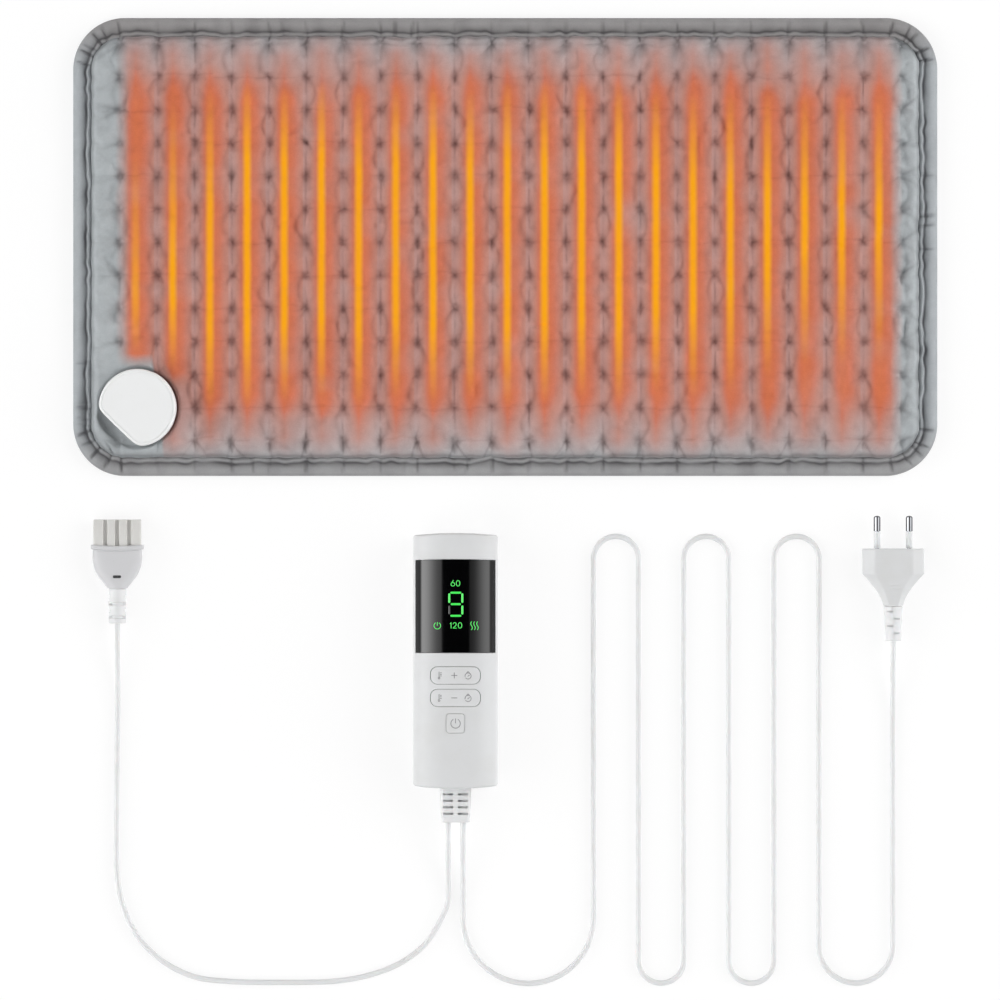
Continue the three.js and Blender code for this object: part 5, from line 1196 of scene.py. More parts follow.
def slotted_tail(radius, end_radius, length, slots, depth, width=1.3, steps=72):
    """Rings of a round tail along -Y that tapers evenly and rounds off at both ends. A slot, given
    by its place along and a direction with its half angle, sinks the surface by the depth."""
    along = np.linspace(0, length, int(length / 0.2) + 1)[:, None]
    angle = 2 * np.pi * np.arange(steps)[None] / steps
    reach = radius + (end_radius - radius) * along / length + 0 * angle
    for end in (along, length - along):
        reach = reach - 0.5 + 0.5 * np.sqrt(np.clip(1 - (1 - share_of(end, 0.5)) ** 2, 0, 1))
    for place, way, half_angle in slots:
        inside = share_of(width / 2 + 0.1 - np.abs(along - place), 0.2)
        near = np.abs((angle - way + np.pi) % (2 * np.pi) - np.pi)
        reach = reach - depth * inside * np.clip((half_angle - near) / 0.08 + 0.5, 0, 1)
    return np.stack([reach * np.cos(angle), -along + 0 * angle, reach * np.sin(angle)], -1)


def sides_of(place, way, half_angle):
    """Two slots at one place along a tail, opposite each other."""
    return [(place, way, half_angle), (place, way + np.pi, half_angle)]


grip_white = plastic("grip_white", tinted(206, 206, 208), 0.45, 2600.0, 0.3, 0.00003, dull)
slot_shade = plastic("slot_shade", tinted(38, 38, 40), 0.6, 2600.0, 0.3)
grip = add_piece("connector_grip", grip_body(), grip_white, ["connector_body"])
# A dark slab low in the grip's slot: painted shade, for the narrow slot lies in shadow.
slot_shade_slab = upright(rounded_ring(2.35, 0.8, 0.55), (grip_half_z - 1.75, grip_half_z - 1.1), 0, slot_y)
slot_shade_slab = add_piece("slot_shade", body_over(in_connector(slot_shade_slab)), slot_shade)
nose = add_piece("connector_ribs", nose_body(), ivory, ["connector_nose"])
brass = metal("bare_brass", tinted(200, 165, 105), 0.25, 0.15, (1.0, 0.05, 1.0))
wall = [(1.68, 3.6), (1.7, 3.7), (1.7, 14.4), (1.6, 14.5), (1.3, 14.5), (1.2, 14.3), (1.2, 4.1),
        (1.1, 4.0)]
contacts = [add_piece(f"nose_contact_{k + 1}", body_over(in_connector(lathe(wall, 24, x))), brass,
                      [f"connector_contact_{k + 1}"]) for k, x in enumerate(pin_places)]
tail_slots = (sides_of(4.6, 0.0, 0.5) + sides_of(8.6, np.pi / 2, 1.3) + sides_of(12.6, 0.0, 0.5)
              + sides_of(16.4, np.pi / 2, 1.3))
tail_rings = placed(slotted_tail(5.4, 4.9, 20, tail_slots, 1.8, 1.5),
                    connector_x, connector_tail_y, connector_z)
tail = add_piece("connector_boot", body_over(tail_rings), soft_white, ["connector_tail"])

# Controller case: two white half shells of an oval section, screwed together from the back. The
# front one carries a recess for the lens, openings for three keys and notches for their pivots.
case_x, case_y = -28.7, -239.0
case_half_x, case_half_z, case_half_y = 24.5, 14.0, 73.5
parting_z, roundness, end_arch, end_round = 13.5, 2.6, 1.3, 1.6
hollow_half_x, hollow_rise, hollow_drop, hollow_half_y = 21.3, 9.6, 11.6, 70.9
lens_low_y, lens_high_y, lens_half_x, lens_foot_z, lens_bow = 4.79, 58.3, 22.8, 19.0, 0.5
lens_recess, lens_thickness = 0.25, 1.8
plus_y, minus_y, power_y = -8.308, -21.208, -35.908
key_half_x, key_half_y, key_radius, key_space, key_proud = 14.2, 4.95, 4.0, 0.15, 0.5
power_half_x, power_half_y, power_radius = 5.2, 5.5, 1.6
pivot_z, pivot_radius = 21.8, 0.9
lug_y, lug_top_z, bearing_half_y = 6.25, 25.3, 8.05
screw_x, screw_y, screw_radius, screw_top_z, boss_top_z = 15.2, 63.0, 1.6, 20.7, 23.1
post_x, post_y, post_top_z = 13, 37.3, 12.6
window_half_x, window_half_y = 13, 20.76
gland_room_x, gland_room_z, end_wall_y = 9.8, 4.5, -72
screws = [(x, y) for x in (-screw_x, screw_x) for y in (-screw_y, screw_y)]


def in_case(points):
    """From the controller's own frame into the pad's."""
    return placed(points, case_x, case_y)


def oval_height(x, half_x, half_z):
    """The rise of a flat oval at x: b (1 - (|x|/a) to the 2.6) to the 1/2.6."""
    share = np.minimum(np.abs(x) / half_x, 1)
    return half_z * (1 - share**roundness) ** (1 / roundness)


def on_case(x, lift):
    """The height of the case's front face at x, moved outwards by the lift."""
    return parting_z + oval_height(x, case_half_x + lift, case_half_z + lift)


def oval_body(half_x, rise, half_y, spacing=3.0):
    """The case's oval section carried along Y. Each end is rounded by a quarter circle, closed
    over its middle, and arched: a point moves in by the square of its share of the width."""
    turn = np.radians(np.arange(15, 91, 15))
    stations = [(half_y - end_round + end_round * np.sin(a), end_round * (1 - np.cos(a)), 1.0)
                for a in turn]
    stations += [(half_y, end_round, spread) for spread in (0.8, 0.6, 0.4, 0.2)]
    run = np.linspace(end_round - half_y, half_y - end_round, int(2 * half_y / spacing))
    stations = ([(-y, inset, spread) for y, inset, spread in stations[::-1]]
                + [(y, 0.0, 1.0) for y in run] + stations)
    rings = []
    for y, inset, spread in stations:
        ring = oval(half_x - inset, rise - inset, y, roundness, 128)
        ring[:, [0, 2]] *= spread
        ring[:, 1] -= np.sign(y) * end_arch * (ring[:, 0] / half_x) ** 2
        rings.append(ring + (0, 0, parting_z))
    return body_over(in_case(rings))


def prism(outline, low, high, x=0.0, y=0.0):
    """An upright body of one outline between two heights, in the controller's place."""
    return body_over(in_case(upright(outline, (low, high), x, y)))


def box_of(half_x, half_y, low, high, x=0.0, y=0.0):
    """An upright box in the controller's place."""
    corners = np.array([(half_x, half_y), (-half_x, half_y), (-half_x, -half_y), (half_x, -half_y)])
    return prism(corners, low, high, x, y)


def round_of(radius, low, high, x, y, steps=28):
    """An upright round bar in the controller's place."""
    angle = 2 * np.pi * np.arange(steps) / steps
    return prism(radius * np.stack([np.cos(angle), np.sin(angle)], 1), low, high, x, y)


def over_case(outline, lift, y):
    """A ring over an outline that follows the case's front face."""
    return np.column_stack([outline[:, 0], outline[:, 1] + y, on_case(outline[:, 0], lift)])


def key_opening(half_x, half_y, radius, y):
    """A cutter for a key's opening: upright inside the wall, and flared by 0.12 mm at the face."""
    hole = rounded_ring(half_x, half_y, radius)
    wide = rounded_ring(half_x + 0.12, half_y + 0.12, radius + 0.12)
    return body_over(in_case(
        [*upright(hole, [parting_z], 0, y), over_case(hole, -0.12, y), over_case(wide, 0.02, y),
         over_case(wide, 3.0, y)]))


def lens_slab(space, recess, depth):
    """The lens, or the room for it: what lies between two ovals, over one stretch of the case,
    down to its two feet. Its upper edge is bowed by half a millimetre."""
    limit, foot = lens_half_x + space, lens_foot_z - space
    outer_x, outer_z = case_half_x - recess, case_half_z - recess
    inner_x, inner_z = case_half_x - depth, case_half_z - depth
    start = np.arccos((limit / outer_x) ** (roundness / 2))
    inner_start = np.arcsin(((foot - parting_z) / inner_z) ** (roundness / 2))

    def arc(half_x, half_z, first):
        angle = np.linspace(first, np.pi - first, 97)
        c, s = np.cos(angle), np.sin(angle)
        return np.stack([half_x * np.sign(c) * np.abs(c) ** (2 / roundness),
                         parting_z + half_z * np.abs(s) ** (2 / roundness)], 1)

    high = np.vstack([[limit, foot + 0.6], arc(outer_x, outer_z, start), [-limit, foot + 0.6]])
    low = np.vstack([[limit, foot], arc(inner_x, inner_z, inner_start), [-limit, foot]])
    rows = np.linspace(0, 1, 9)[:, None]

    def carried(section):
        top = lens_high_y + space - lens_bow * (section[:, 0] / lens_half_x) ** 2
        bottom = lens_low_y - space
        return np.stack([section[:, 0] + 0 * rows, bottom + (top - bottom) * rows,
                         section[:, 1] + 0 * rows], -1)

    return slab(in_case(carried(low)), in_case(carried(high)))


def hollowed(half_z):
    """The oval body less a hollow that reaches that far from the parting line."""
    return shaped(oval_body(case_half_x, case_half_z, case_half_y),
                  cutters=[oval_body(hollow_half_x, half_z, hollow_half_y, 6.0)])


def gland_hole():
    """A cutter for the gland's opening in the end wall."""
    return prism(rounded_ring(gland_room_x, 4, 1.0), gland_z - gland_room_z,
                 gland_z + gland_room_z, 0, end_wall_y)


def front_shell():
    """The oval body above the parting line less its hollow, with lugs and screw bosses, less the
    openings for the lens, the keys, their pivots, the gland and the screws."""
    lugs, pivots = [], []
    for y in (plus_y, minus_y):
        lugs += [box_of(3.2, 0.8, pivot_z - pivot_radius, lug_top_z, 0, y + side * lug_y)
                 for side in (-1, 1)]
        bearing = [(pivot_radius + 0.3, -bearing_half_y), (pivot_radius + 0.3, bearing_half_y)]
        pivots += [body_over(in_case(lathe(bearing, 24, 0, pivot_z) + (0, y, 0))),
                   box_of(1.2, bearing_half_y, pivot_z - 1.8, pivot_z, 0, y)]
    bosses = [round_of(3.3, parting_z - 2, boss_top_z, x, y) for x, y in screws]
    holes = [round_of(screw_radius, parting_z - 3, screw_top_z, x, y) for x, y in screws]
    openings = [key_opening(key_half_x + 2 * key_space, key_half_y + key_space,
                            key_radius + key_space, y) for y in (plus_y, minus_y)]
    openings.append(key_opening(power_half_x + key_space, power_half_y + key_space,
                                power_radius + key_space, power_y))
    recess = make_mesh(*lens_slab(0.3, -2.0, lens_recess + lens_thickness + 0.3))
    window = prism(rounded_ring(window_half_x, window_half_y, 1.0), parting_z, 42, 0,
                   (lens_low_y + lens_high_y) / 2)
    return shaped(hollowed(hollow_rise), joined=lugs + bosses,
                  kept=[box_of(30, 80, parting_z + 0.15, 40)],
                  cutters=[recess, window, *openings, gland_hole(), *pivots, *holes])


def back_shell():
    """The oval body below the parting line, cut flat where it lies on the table, less its hollow,
    with posts for the board and bosses for the four screws."""
    sink = parting_z - float(oval_height(screw_x, case_half_x, case_half_z)) + 2.2
    limit = oval_body(case_half_x - 0.6, case_half_z - 0.6, case_half_y - 0.6, 6.0)
    bosses = [shaped(round_of(4.6, 0, parting_z + 2, x, y), kept=[limit.copy()])
              for x, y in screws]
    posts = [round_of(2.5, 0.9, post_top_z, x, y)
             for x in (-post_x, post_x) for y in (-post_y, post_y)]
    circle = rounded_ring(1, 1, 0.999, 8)
    steps = ((2.9, -2), (2.9, sink), (screw_radius, sink + 0.02), (screw_radius, parting_z + 3))
    holes = [body_over(in_case([upright(radius * circle, [z], x, y)[0] for radius, z in steps]))
             for x, y in screws]
    return shaped(hollowed(hollow_drop), joined=bosses + posts,
                  kept=[box_of(30, 80, 0.0, parting_z - 0.15)],
                  cutters=[gland_hole(), *holes])


add_piece("case_face", front_shell(), satin_white, ["case_front"], sharp=30)
add_piece("case_rear", back_shell(), satin_white, ["case_back"], sharp=30)

# Lens: a dark glossy sheet bent over the front of the case, let in almost flush with it. Its
# display is seen through it, so the lit figures are drawn on its face.
smoked_gloss, tree, surface = finish_of("smoked_gloss", {"Specular IOR Level": 0.4})
smear = noise_of(tree, spot_on(tree), 60.0, 3.0)
dust = step_of(tree, noise_of(tree, spot_on(tree), 1300.0, 1.0), 0.74, 0.82)
feed(tree, surface, {
    "Roughness": swayed(tree, smear, 0.1, sum_of(tree, "MULTIPLY_ADD", dust, 0.12, 0.07), 0.4),
    "Base Color": colour_mix(tree, dust, tinted(2, 2, 3), tinted(12, 12, 13))})
raise_by(tree, surface, smear, 0.1, 0.00002)
add_piece("lens_sheet", make_mesh(*lens_slab(0, lens_recess, lens_recess + lens_thickness)),
          smoked_gloss, ["display_lens"], sharp=30)


def ribbon(path, width, lift, thickness=0.05):
    """A flat stroke along a path on the case's face. At each end three more rows narrow it along
    a quarter circle, which rounds the end off."""
    path = np.asarray(path, float)
    ahead = np.gradient(path, axis=0)
    ahead = ahead / np.linalg.norm(ahead, axis=1, keepdims=True)
    turn = np.radians([[80], [50], [25]])
    spine = np.vstack([path[0] - ahead[0] * width / 2 * np.sin(turn), path,
                       path[-1] + ahead[-1] * width / 2 * np.sin(turn[::-1])])
    half = width / 2 * np.concatenate([np.cos(turn[:, 0]), np.ones(len(path)),
                                       np.cos(turn[::-1, 0])])
    ahead = np.vstack([np.repeat(ahead[:1], 3, 0), ahead, np.repeat(ahead[-1:], 3, 0)])
    side = np.stack([-ahead[:, 1], ahead[:, 0]], 1) * half[:, None]
    rows = spine[:, None] + side[:, None] * np.array([-1, 0, 1])[None, :, None]
    low = np.dstack([rows, on_case(rows[..., 0], lift)])
    return slab(in_case(low), in_case(low + [0, 0, thickness]))


def line(x1, y1, x2, y2, steps=6):
    """Places along a straight stroke."""
    share = np.linspace(0, 1, steps + 1)
    return np.stack([x1 + (x2 - x1) * share, y1 + (y2 - y1) * share], 1)


def arc_of(x, y, radius_x, radius_y, first, last, steps=24):
    """Places along a part of an oval, from one angle to another in degrees."""
    angle = np.radians(np.linspace(first, last, steps + 1))
    return np.stack([x + radius_x * np.cos(angle), y + radius_y * np.sin(angle)], 1)


def figure(digit, x, y, width, height):
    """The strokes of a plain numeral in a box whose lower left corner is given."""
    w, h = width, height
    shapes = {
        "0": [arc_of(x + w / 2, y + h / 2, w / 2, h / 2, 92, 448)],
        "1": [line(x + 0.3 * w, y + 0.8 * h, x + 0.62 * w, y + h),
              line(x + 0.62 * w, y + h, x + 0.62 * w, y)],
        "2": [arc_of(x + w / 2, y + 0.7 * h, 0.45 * w, 0.3 * h, 170, -35),
              line(x + 0.87 * w, y + 0.52 * h, x + 0.05 * w, y), line(x + 0.05 * w, y, x + w, y)],
        "6": [arc_of(x + w / 2, y + 0.32 * h, w / 2, 0.32 * h, 92, 448),
              line(x + 0.62 * w, y + h, x + 0.06 * w, y + 0.47 * h)],
    }
    return shapes[digit]


def joined_up(parts):
    """One mesh of several separate closed bodies, each given as points and faces."""
    starts = np.cumsum([0] + [len(points) for points, _ in parts])
    return make_mesh(np.vstack([points for points, _ in parts]),
                     [face + start for (_, faces), start in zip(parts, starts) for face in faces])


def power_mark(x, y, radius):
    """The usual power mark: a ring open at its top and a bar that stands in the opening."""
    return [arc_of(x, y, radius, radius, 122, 418, 30), line(x, y + 0.1 * radius, x, y + radius)]


def lit(name, colour, strength):
    """A lit figure under the lens: it gives light of its own colour, mottled by a fine speckle."""
    material, tree, surface = finish_of(name, {"Roughness": 0.3, "Emission Strength": strength})
    speck = noise_of(tree, spot_on(tree), 2500.0, 1.0)
    feed(tree, surface, {
        "Emission Color": colour_mix(tree, product(tree, speck, 0.3), colour, dimmed(colour, 0.7)),
        "Base Color": dimmed(colour, 0.1)})
    return material


on_lens = 0.005 - lens_recess
digit_left, digit_right = -3.5, 4.0
digit_low, digit_middle, digit_high = 26.0, 32.7, 39.3
lower_bar, upper_bar = (31.4, 27.3), (38.4, 34.0)


def standing_bar(x, ends):
    """An upright bar of the large figure, from its upper end to its lower."""
    return line(x, ends[0], x, ends[1])


small_marks = []
for digit, x, y, width in (("6", -2.5, 43.1, 2.1), ("0", 0.5, 43.1, 2.1), ("1", -3.4, 18.9, 1.5),
                           ("2", -1.4, 18.9, 2.0), ("0", 1.6, 18.9, 2.1)):
    small_marks += figure(digit, x, y, width, 3.2)
small_marks += power_mark(-10.4, 20.3, 1.9)
step = np.linspace(0, 1, 17)
heat_marks = [np.stack([x + 0.45 * np.sin(2 * np.pi * step), 18.0 + 4.6 * step], 1)
              for x in (9.3, 11.0, 12.7)]
digit_bars = [line(-2.3, digit_high, 2.8, digit_high), line(-2.1, digit_middle, 2.6, digit_middle),
              line(-2.3, digit_low, 2.8, digit_low), standing_bar(digit_left, upper_bar),
              standing_bar(digit_right, upper_bar), standing_bar(digit_right, lower_bar)]
bright = ([ribbon(path, 0.4, on_lens) for path in small_marks + heat_marks]
          + [ribbon(path, 1.15, on_lens) for path in digit_bars])
add_piece("lit_figures", joined_up(bright), lit("green_light", tinted(70, 235, 90), 1.0),
          sharp=180)
add_piece("dim_bar", joined_up([ribbon(standing_bar(digit_left, lower_bar), 1.0, on_lens)]),
          lit("dim_light", tinted(34, 36, 34), 1.0), sharp=180)

# Keys: three white keys that stand half a millimetre proud of the case. The two long ones rock
# on a pair of trunnions, the square one is pressed, and small grey marks are printed on them.
key_white = plastic("key_white", tinted(216, 217, 218), 0.5, 2200.0, 0.3, 0.00003, dull)
print_grey, tree, surface = finish_of("print_grey", {"Roughness": 0.6, "Specular IOR Level": 0.2})
wear = noise_of(tree, spot_on(tree), 1800.0, 2.0)
feed(tree, surface, {"Base Color": colour_mix(tree, step_of(tree, wear, 0.45, 0.75, 0.0, 0.35),
                                              tinted(142, 142, 144), tinted(196, 196, 197))})
key_plate_z = 22.5


def key_top(outline_at, y, base):
    """Rings of a key's cap: up from its plate, over a rounded edge, and in over a face that
    follows the case at the key's rise."""
    face = outline_at(0.4)
    rings = base + [over_case(outline_at(0), key_proud - 0.4, y),
                    over_case(outline_at(0.03), key_proud - 0.2, y),
                    over_case(outline_at(0.13), key_proud - 0.06, y),
                    over_case(face, key_proud, y)]
    return rings + [over_case(face * share, key_proud, y) for share in (0.8, 0.6, 0.4, 0.2, 0.06)]


def rocker_key(y):
    """A pill-shaped cap with a hub and two trunnions under its middle and a post at each end."""
    def outline(inset):
        return rounded_ring(key_half_x - inset, key_half_y - inset, key_radius - inset, 12)
    cap = body_over(in_case(key_top(outline, y, upright(outline(0), [key_plate_z], 0, y))))
    hub = box_of(2.0, key_half_y, pivot_z - pivot_radius, key_plate_z + 0.5, 0, y)
    reach = key_half_y + 1.1
    pins = [(pivot_radius - 0.15, -reach), (pivot_radius, 0.15 - reach),
            (pivot_radius, reach - 0.15), (pivot_radius - 0.15, reach)]
    trunnions = body_over(in_case(lathe(pins, 28, 0, pivot_z) + (0, y, 0)))
    posts = [round_of(1.5, 21.5, key_plate_z + 0.5, x, y) for x in (-9.5, 9.5)]
    return shaped(cap, joined=[hub, trunnions, *posts])


def power_cap():
    """A square cap that rises from a flange, which stops it under the case."""
    def outline(inset):
        return rounded_ring(power_half_x - inset, power_half_y - inset, power_radius - inset, 12)
    flange = rounded_ring(power_half_x + 1.5, power_half_y + 1.5, power_radius, 12)
    base = upright(flange, (key_plate_z - 1, key_plate_z), 0, power_y)
    base += upright(outline(0), (key_plate_z + 0.01,), 0, power_y)
    return body_over(in_case(key_top(outline, power_y, base)))


def thermometer(x, y):
    """A bulb, a stem over it and three short ticks."""
    return ([arc_of(x, y - 1.5, 0.5, 0.5, 95, 445, 12), line(x, y - 1.0, x, y + 2.0)]
            + [line(x + 0.75, y + k, x + 1.35, y + k, 2) for k in (-0.3, 0.6, 1.5)])


def timer(x, y):
    """A ring open at its lower left, a pointed knob over it and a short hand."""
    return [arc_of(x, y - 0.3, 1.75, 1.75, -140, 188, 26), line(x - 0.8, y + 1.5, x, y + 2.3, 3),
            line(x, y + 2.3, x + 0.8, y + 1.5, 3), line(x - 0.1, y - 0.5, x + 0.75, y + 0.2, 3)]


plus_marks = [line(-2.2, plus_y, 0.9, plus_y), line(-0.65, plus_y - 1.55, -0.65, plus_y + 1.55)]
minus_marks = [line(-2.2, minus_y, 0.9, minus_y)]
for name, y, marks in (("plus", plus_y, plus_marks), ("minus", minus_y, minus_marks)):
    add_piece(name + "_bar", rocker_key(y), key_white, [name + "_key"],
              name + "_rocker", 30)
    marks = marks + thermometer(-9.4, y) + timer(7.3, y)
    prints = [ribbon(path, 0.42, key_proud + 0.005, 0.03) for path in marks]
    add_piece(name + "_bar_marks", joined_up(prints), print_grey, body=name + "_rocker", sharp=180)
add_piece("power_cap", power_cap(), key_white, ["power_key"], "power_button", 30)
prints = [ribbon(path, 0.45, key_proud + 0.005, 0.03) for path in power_mark(0.1, power_y, 2.7)]
add_piece("power_cap_mark", joined_up(prints), print_grey, body="power_button", sharp=180)

# Cord gland: one soft white moulding for both cords. A flange holds it inside the case, and
# two columns of slots through its faces let the tapered part bend.
gland_half_x, gland_half_z, gland_end_x, gland_end_z = 9.35, 4.2, 8.2, 3.5
gland_length, gland_pitch = 20.0, 3.74
flange_y, wall_y, gland_tip_y = -69.6, -72.2, -93.5


def gland_body():
    """A flat oval of power 5 that tapers out of the case, with its flange, less the slots."""
    stations = [(flange_y, 0, 0), (wall_y, 0, 0)]
    stations += [(wall_y - (gland_length + 1.3) * share, share, 0) for share in (0.25, 0.5, 0.75)]
    stations += [(gland_tip_y + 0.5 - 0.5 * np.sin(a), 1, 0.5 * (1 - np.cos(a)))
                 for a in np.radians((0, 30, 60, 90))]
    rings = [oval(gland_half_x + (gland_end_x - gland_half_x) * share - inset,
                  gland_half_z + (gland_end_z - gland_half_z) * share - inset, y, 5)
             + (0, 0, gland_z) for y, share, inset in stations]
    outline = rounded_ring(10.9, 5.6, 1.2)
    flange = [np.column_stack([outline[:, 0], np.full(len(outline), y), outline[:, 1] + gland_z])
              for y in (flange_y, flange_y + 1.6)]
    slots = []
    for row in range(1, 5):
        surface_z = gland_half_z + (gland_end_z - gland_half_z) * row / 5
        y = -case_half_y - row * gland_pitch
        for x, half_width, depth in ((4.3, 3.0, 2.0), (2.3, 0.95, 3.3)):
            for way, side in ((-1, -1), (-1, 1), (1, -1), (1, 1)):
                low, high = sorted((side * (surface_z - depth), side * (surface_z + 2)))
                slots.append(prism(rounded_ring(half_width, 0.65, 0.55, 6), gland_z + low,
                                   gland_z + high, way * x, y))
    return shaped(body_over(in_case(rings)), joined=[body_over(in_case(flange))], cutters=slots)


add_piece("cord_boot", gland_body(), soft_white, ["cord_gland"], sharp=30)

# Mains plug: a flat body of soft-edged facets moulded on two pins, narrowing to a neck. A fine
# step parts it from its tail, whose slots lie left and right in turn.
plug_y = -174.5
plug_length, facet_share = 33.0, 0.44
plug_half_x, plug_half_z, plug_face = 18.0, 7.0, 11.0
plug_neck_x, plug_neck_z = 5.8, 5.2
pin_half_gap = 9.3
plug_tail_y, slot_start, slot_pitch = plug_y - 33.3, -36.3, 4.2


def in_plug(points):
    """From the plug's frame, at its face between the pins, into the pad's."""
    return placed(points, plug_x, plug_y, plug_z)


def plug_sizes(along):
    """Half width, half face and half thickness at a share of the length: full up to the facets'
    end, then down to the neck with the power 1.5 of what is left."""
    left = share_of(1 - along, 1 - facet_share) ** 1.5
    return (plug_neck_x + (plug_half_x - plug_neck_x) * left,
            plug_neck_x / 2 + (plug_face - plug_neck_x / 2) * left,
            plug_neck_z + (plug_half_z - plug_neck_z) * left)


def facet_ring(y, half_x, face, half_z, steps=176):
    """A ring of a flat eight-sided section with soft corners. The reach at an angle is the sum,
    over the sides, of (cosine to the side / its distance) to the 30, to the -1/30."""
    angle = np.linspace(0, 2 * np.pi, 1441)[:-1]
    edge = half_z / 4
    slant = np.hypot(half_z - edge, half_x - face)
    tilt_x, tilt_z = (half_z - edge) / slant, (half_x - face) / slant
    reach = np.zeros_like(angle)
    for way_x, way_z, distance in (
            [(side, 0, half_x) for side in (1, -1)] + [(0, side, half_z) for side in (1, -1)]
            + [(a * tilt_x, b * tilt_z, face * tilt_x + half_z * tilt_z)
               for a in (1, -1) for b in (1, -1)]):
        toward = np.maximum(way_x * np.cos(angle) + way_z * np.sin(angle), 0)
        reach = reach + (toward / distance) ** 30
    reach = reach ** (-1 / 30)
    x, z = reach * np.cos(angle), reach * np.sin(angle)
    return evened(np.append(x, x[0]), np.append(z, z[0]), y, steps)


def plug_shell():
    """Rings of the faceted section: a quarter-round edge at the pins, the straight facets, a soft
    crease, the narrowing waist and a fine step at the neck, less two bores for the pins."""
    rings, edge_radius = [], 0.7
    for a in np.radians((90, 60, 30, 0)):
        inset = edge_radius * (1 - np.cos(a))
        rings.append(facet_ring(-edge_radius * (1 - np.sin(a)), plug_half_x - inset,
                                plug_face - 0.4 * inset, plug_half_z - inset))
    for along in [*np.linspace(0.06, facet_share, 6), *np.linspace(facet_share, 0.985, 34)[1:]]:
        rings.append(facet_ring(-along * plug_length, *plug_sizes(along)))
    half_x, face, half_z = plug_sizes(1.0)
    rings.append(facet_ring(-plug_length + 0.1, half_x - 0.1, face, half_z - 0.1))
    rings.append(facet_ring(-plug_length, half_x - 0.5, face, half_z - 0.5))
    bore = [(1.6, -7.3), (1.6, 0.05), (1.6, 2)]
    return shaped(body_over(in_plug(rings)), cutters=[
        body_over(in_plug(lathe(bore, 28, x))) for x in (-pin_half_gap, pin_half_gap)])


def grip_line(y, left=-2.4, right=4.6):
    """A low ridge across the plug's face: a strip 0.64 mm wide with a bowed top."""
    across = np.linspace(left, right, 9)[:, None]
    share = np.linspace(-1, 1, 5)[None]
    surface_z = plug_sizes(-y / plug_length)[2]
    low = np.stack([across + 0 * share, y + 0.32 * share + 0 * across,
                    surface_z - 0.12 + 0 * share + 0 * across], -1)
    tapered = np.clip(np.minimum(across - left, right - across), 0, 0.5) * 2
    rise = (0.3 * (1 - share**2) + 0.02) * tapered
    high = low + np.stack([0 * rise, 0 * rise, 0.1 + rise], -1)
    return slab(in_plug(low), in_plug(high))


plug_parts = [add_piece("plug_shell", plug_shell(), satin_white, ["plug_body"],
                        sharp=40),
              add_piece("plug_grip_lines", joined_up([grip_line(-21.2), grip_line(-23.4)]),
                        satin_white)]
tip = [(2.0 * np.cos(a) ** 0.7, 17.6 + 1.4 * np.sin(a)) for a in np.radians(np.arange(0, 76, 15))]
profile = [(1.1, -7.0), (1.3, -6.8), (1.3, 10.0), (1.95, 10.05), (2.0, 10.15), *tip, (0.5, 19.0)]
wall = [(1.85, 0.3), (1.9, 0.4), (1.9, 9.55), (1.85, 9.7), (1.62, 9.7), (1.6, 9.6), (1.6, 0.4),
        (1.62, 0.3)]
for side, x in (("left", -pin_half_gap), ("right", pin_half_gap)):
    pin = body_over(in_plug(lathe(profile, 48, x)))
    plug_parts.append(add_piece(f"mains_pin_{side}", pin, nickel, [f"plug_pin_{side}"]))
    rings = in_plug(lathe(wall, 40, x))
    sleeve = make_mesh(rings, [weave(*rings.shape[:2], True)])
    plug_parts.append(add_piece(f"pin_sleeve_{side}", sleeve, soft_white,
                                [f"plug_sleeve_{side}"]))
tail_rings = placed(slotted_tail(5.5, 4.7, 20, [], 0.0), plug_x, plug_tail_y, plug_z)
boot_slots = []
for k in range(4):
    floor_z = 3.7 - 0.17 * k
    for low, high in ((floor_z, 6.5), (-6.5, -floor_z)):
        boot_slots.append(body_over(in_plug(upright(
            rounded_ring(2.1, 0.55, 0.45, 6), (low, high), 2.2 * (-1) ** (k + 1),
            slot_start - slot_pitch * k))))
boot = shaped(body_over(tail_rings), cutters=boot_slots)
plug_parts.append(add_piece("plug_boot", boot, soft_white, ["plug_tail"], sharp=30))

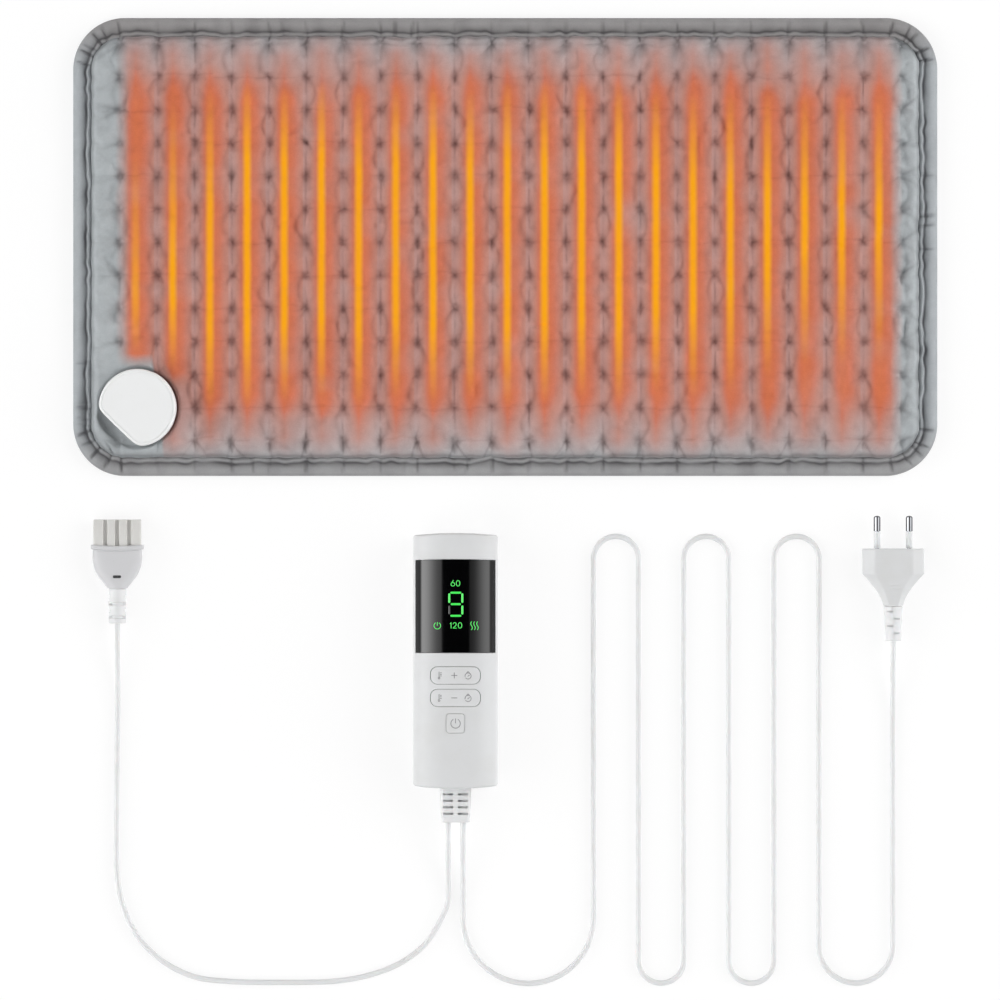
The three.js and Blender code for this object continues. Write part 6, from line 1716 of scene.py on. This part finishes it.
# Inside the pad: a sheet of felt carries the heating wire, which a silicone skin insulates, two
# overheat cut-outs lie between its runs, and a steel bar under the socket takes its screws.
felt, tree, surface = finish_of("felt", {"Roughness": 1.0, "Specular IOR Level": 0.1,
                                         "Sheen Weight": 0.2})
hair = noise_of(tree, spot_on(tree), 700.0, 4.0, 0.7)
cloud = noise_of(tree, spot_on(tree), 60.0, 3.0)
mixed_tone = sum_of(tree, "MULTIPLY_ADD", cloud, 0.5, product(tree, hair, 0.5))
feed(tree, surface, {"Base Color": colour_mix(tree, step_of(tree, mixed_tone, 0.3, 0.7),
                                              tinted(196, 193, 184), tinted(232, 230, 222))})
raise_by(tree, surface, hair, 0.6, 0.0003)
felt_sheet = add_piece("felt_sheet", flat_sheet(14.3, 5.0, lambda x, y: np.full(x.shape, 2.8), 0.8),
                       felt, ["wire_carrier"], sharp=180)


def dress(material, *names):
    """Gives CAD nodes a material in place of their plain one."""
    for name in names:
        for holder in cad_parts[name].material_slots:
            holder.material = material


steel = metal("zinc_plate", tinted(178, 182, 184), 0.3, 0.2)
dress(plastic("wire_skin", tinted(196, 92, 52), 0.45, 2000.0, 0.5), "heating_wire")
dark_plastic = plastic("dark_plastic", tinted(38, 40, 43), 0.5, 2200.0, 0.4)
dress(dark_plastic, "cutout_left", "cutout_right", "display_module", "heat_up_switch",
      "time_up_switch", "heat_down_switch", "time_down_switch", "power_switch")
dress(steel, "socket_clamp_bar", "socket_screw_1", "socket_screw_2",
      *[f"case_screw_{k}" for k in range(1, 5)])
dress(ivory, "terminal_block")

# Circuit board: green solder mask with copper tracks under it, held on posts in the case, with
# a relay, a foil capacitor and a glass fuse under its lower end.
solder_mask, tree, surface = finish_of("solder_mask", {"Roughness": 0.35})
tracks = node(tree, "TexVoronoi", {"Vector": spot_on(tree), "Scale": 260.0},
              distance="MANHATTAN", feature="F1").outputs["Distance"]
track = step_of(tree, tracks, 0.42, 0.5)
feed(tree, surface, {"Base Color": colour_mix(tree, track, tinted(30, 92, 52),
                                              tinted(58, 128, 76))})
raise_by(tree, surface, track, 0.4, 0.00004)
dress(solder_mask, "circuit_board")
dress(plastic("relay_case", tinted(46, 94, 152), 0.4, 2400.0, 0.4), "relay")
dress(plastic("capacitor_case", tinted(202, 164, 40), 0.4, 2400.0, 0.5), "capacitor")
fuse_glass, tree, surface = finish_of("fuse_glass", {"Transmission Weight": 0.85, "IOR": 1.5})
smear = noise_of(tree, spot_on(tree), 400.0, 3.0)
feed(tree, surface, {
    "Roughness": step_of(tree, smear, 0.3, 0.8, 0.02, 0.16),
    "Base Color": colour_mix(tree, smear, tinted(226, 234, 232), tinted(206, 216, 214))})
dress(fuse_glass, "board_fuse")

# The bounds of all that is shown, the table left out.
low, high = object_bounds()
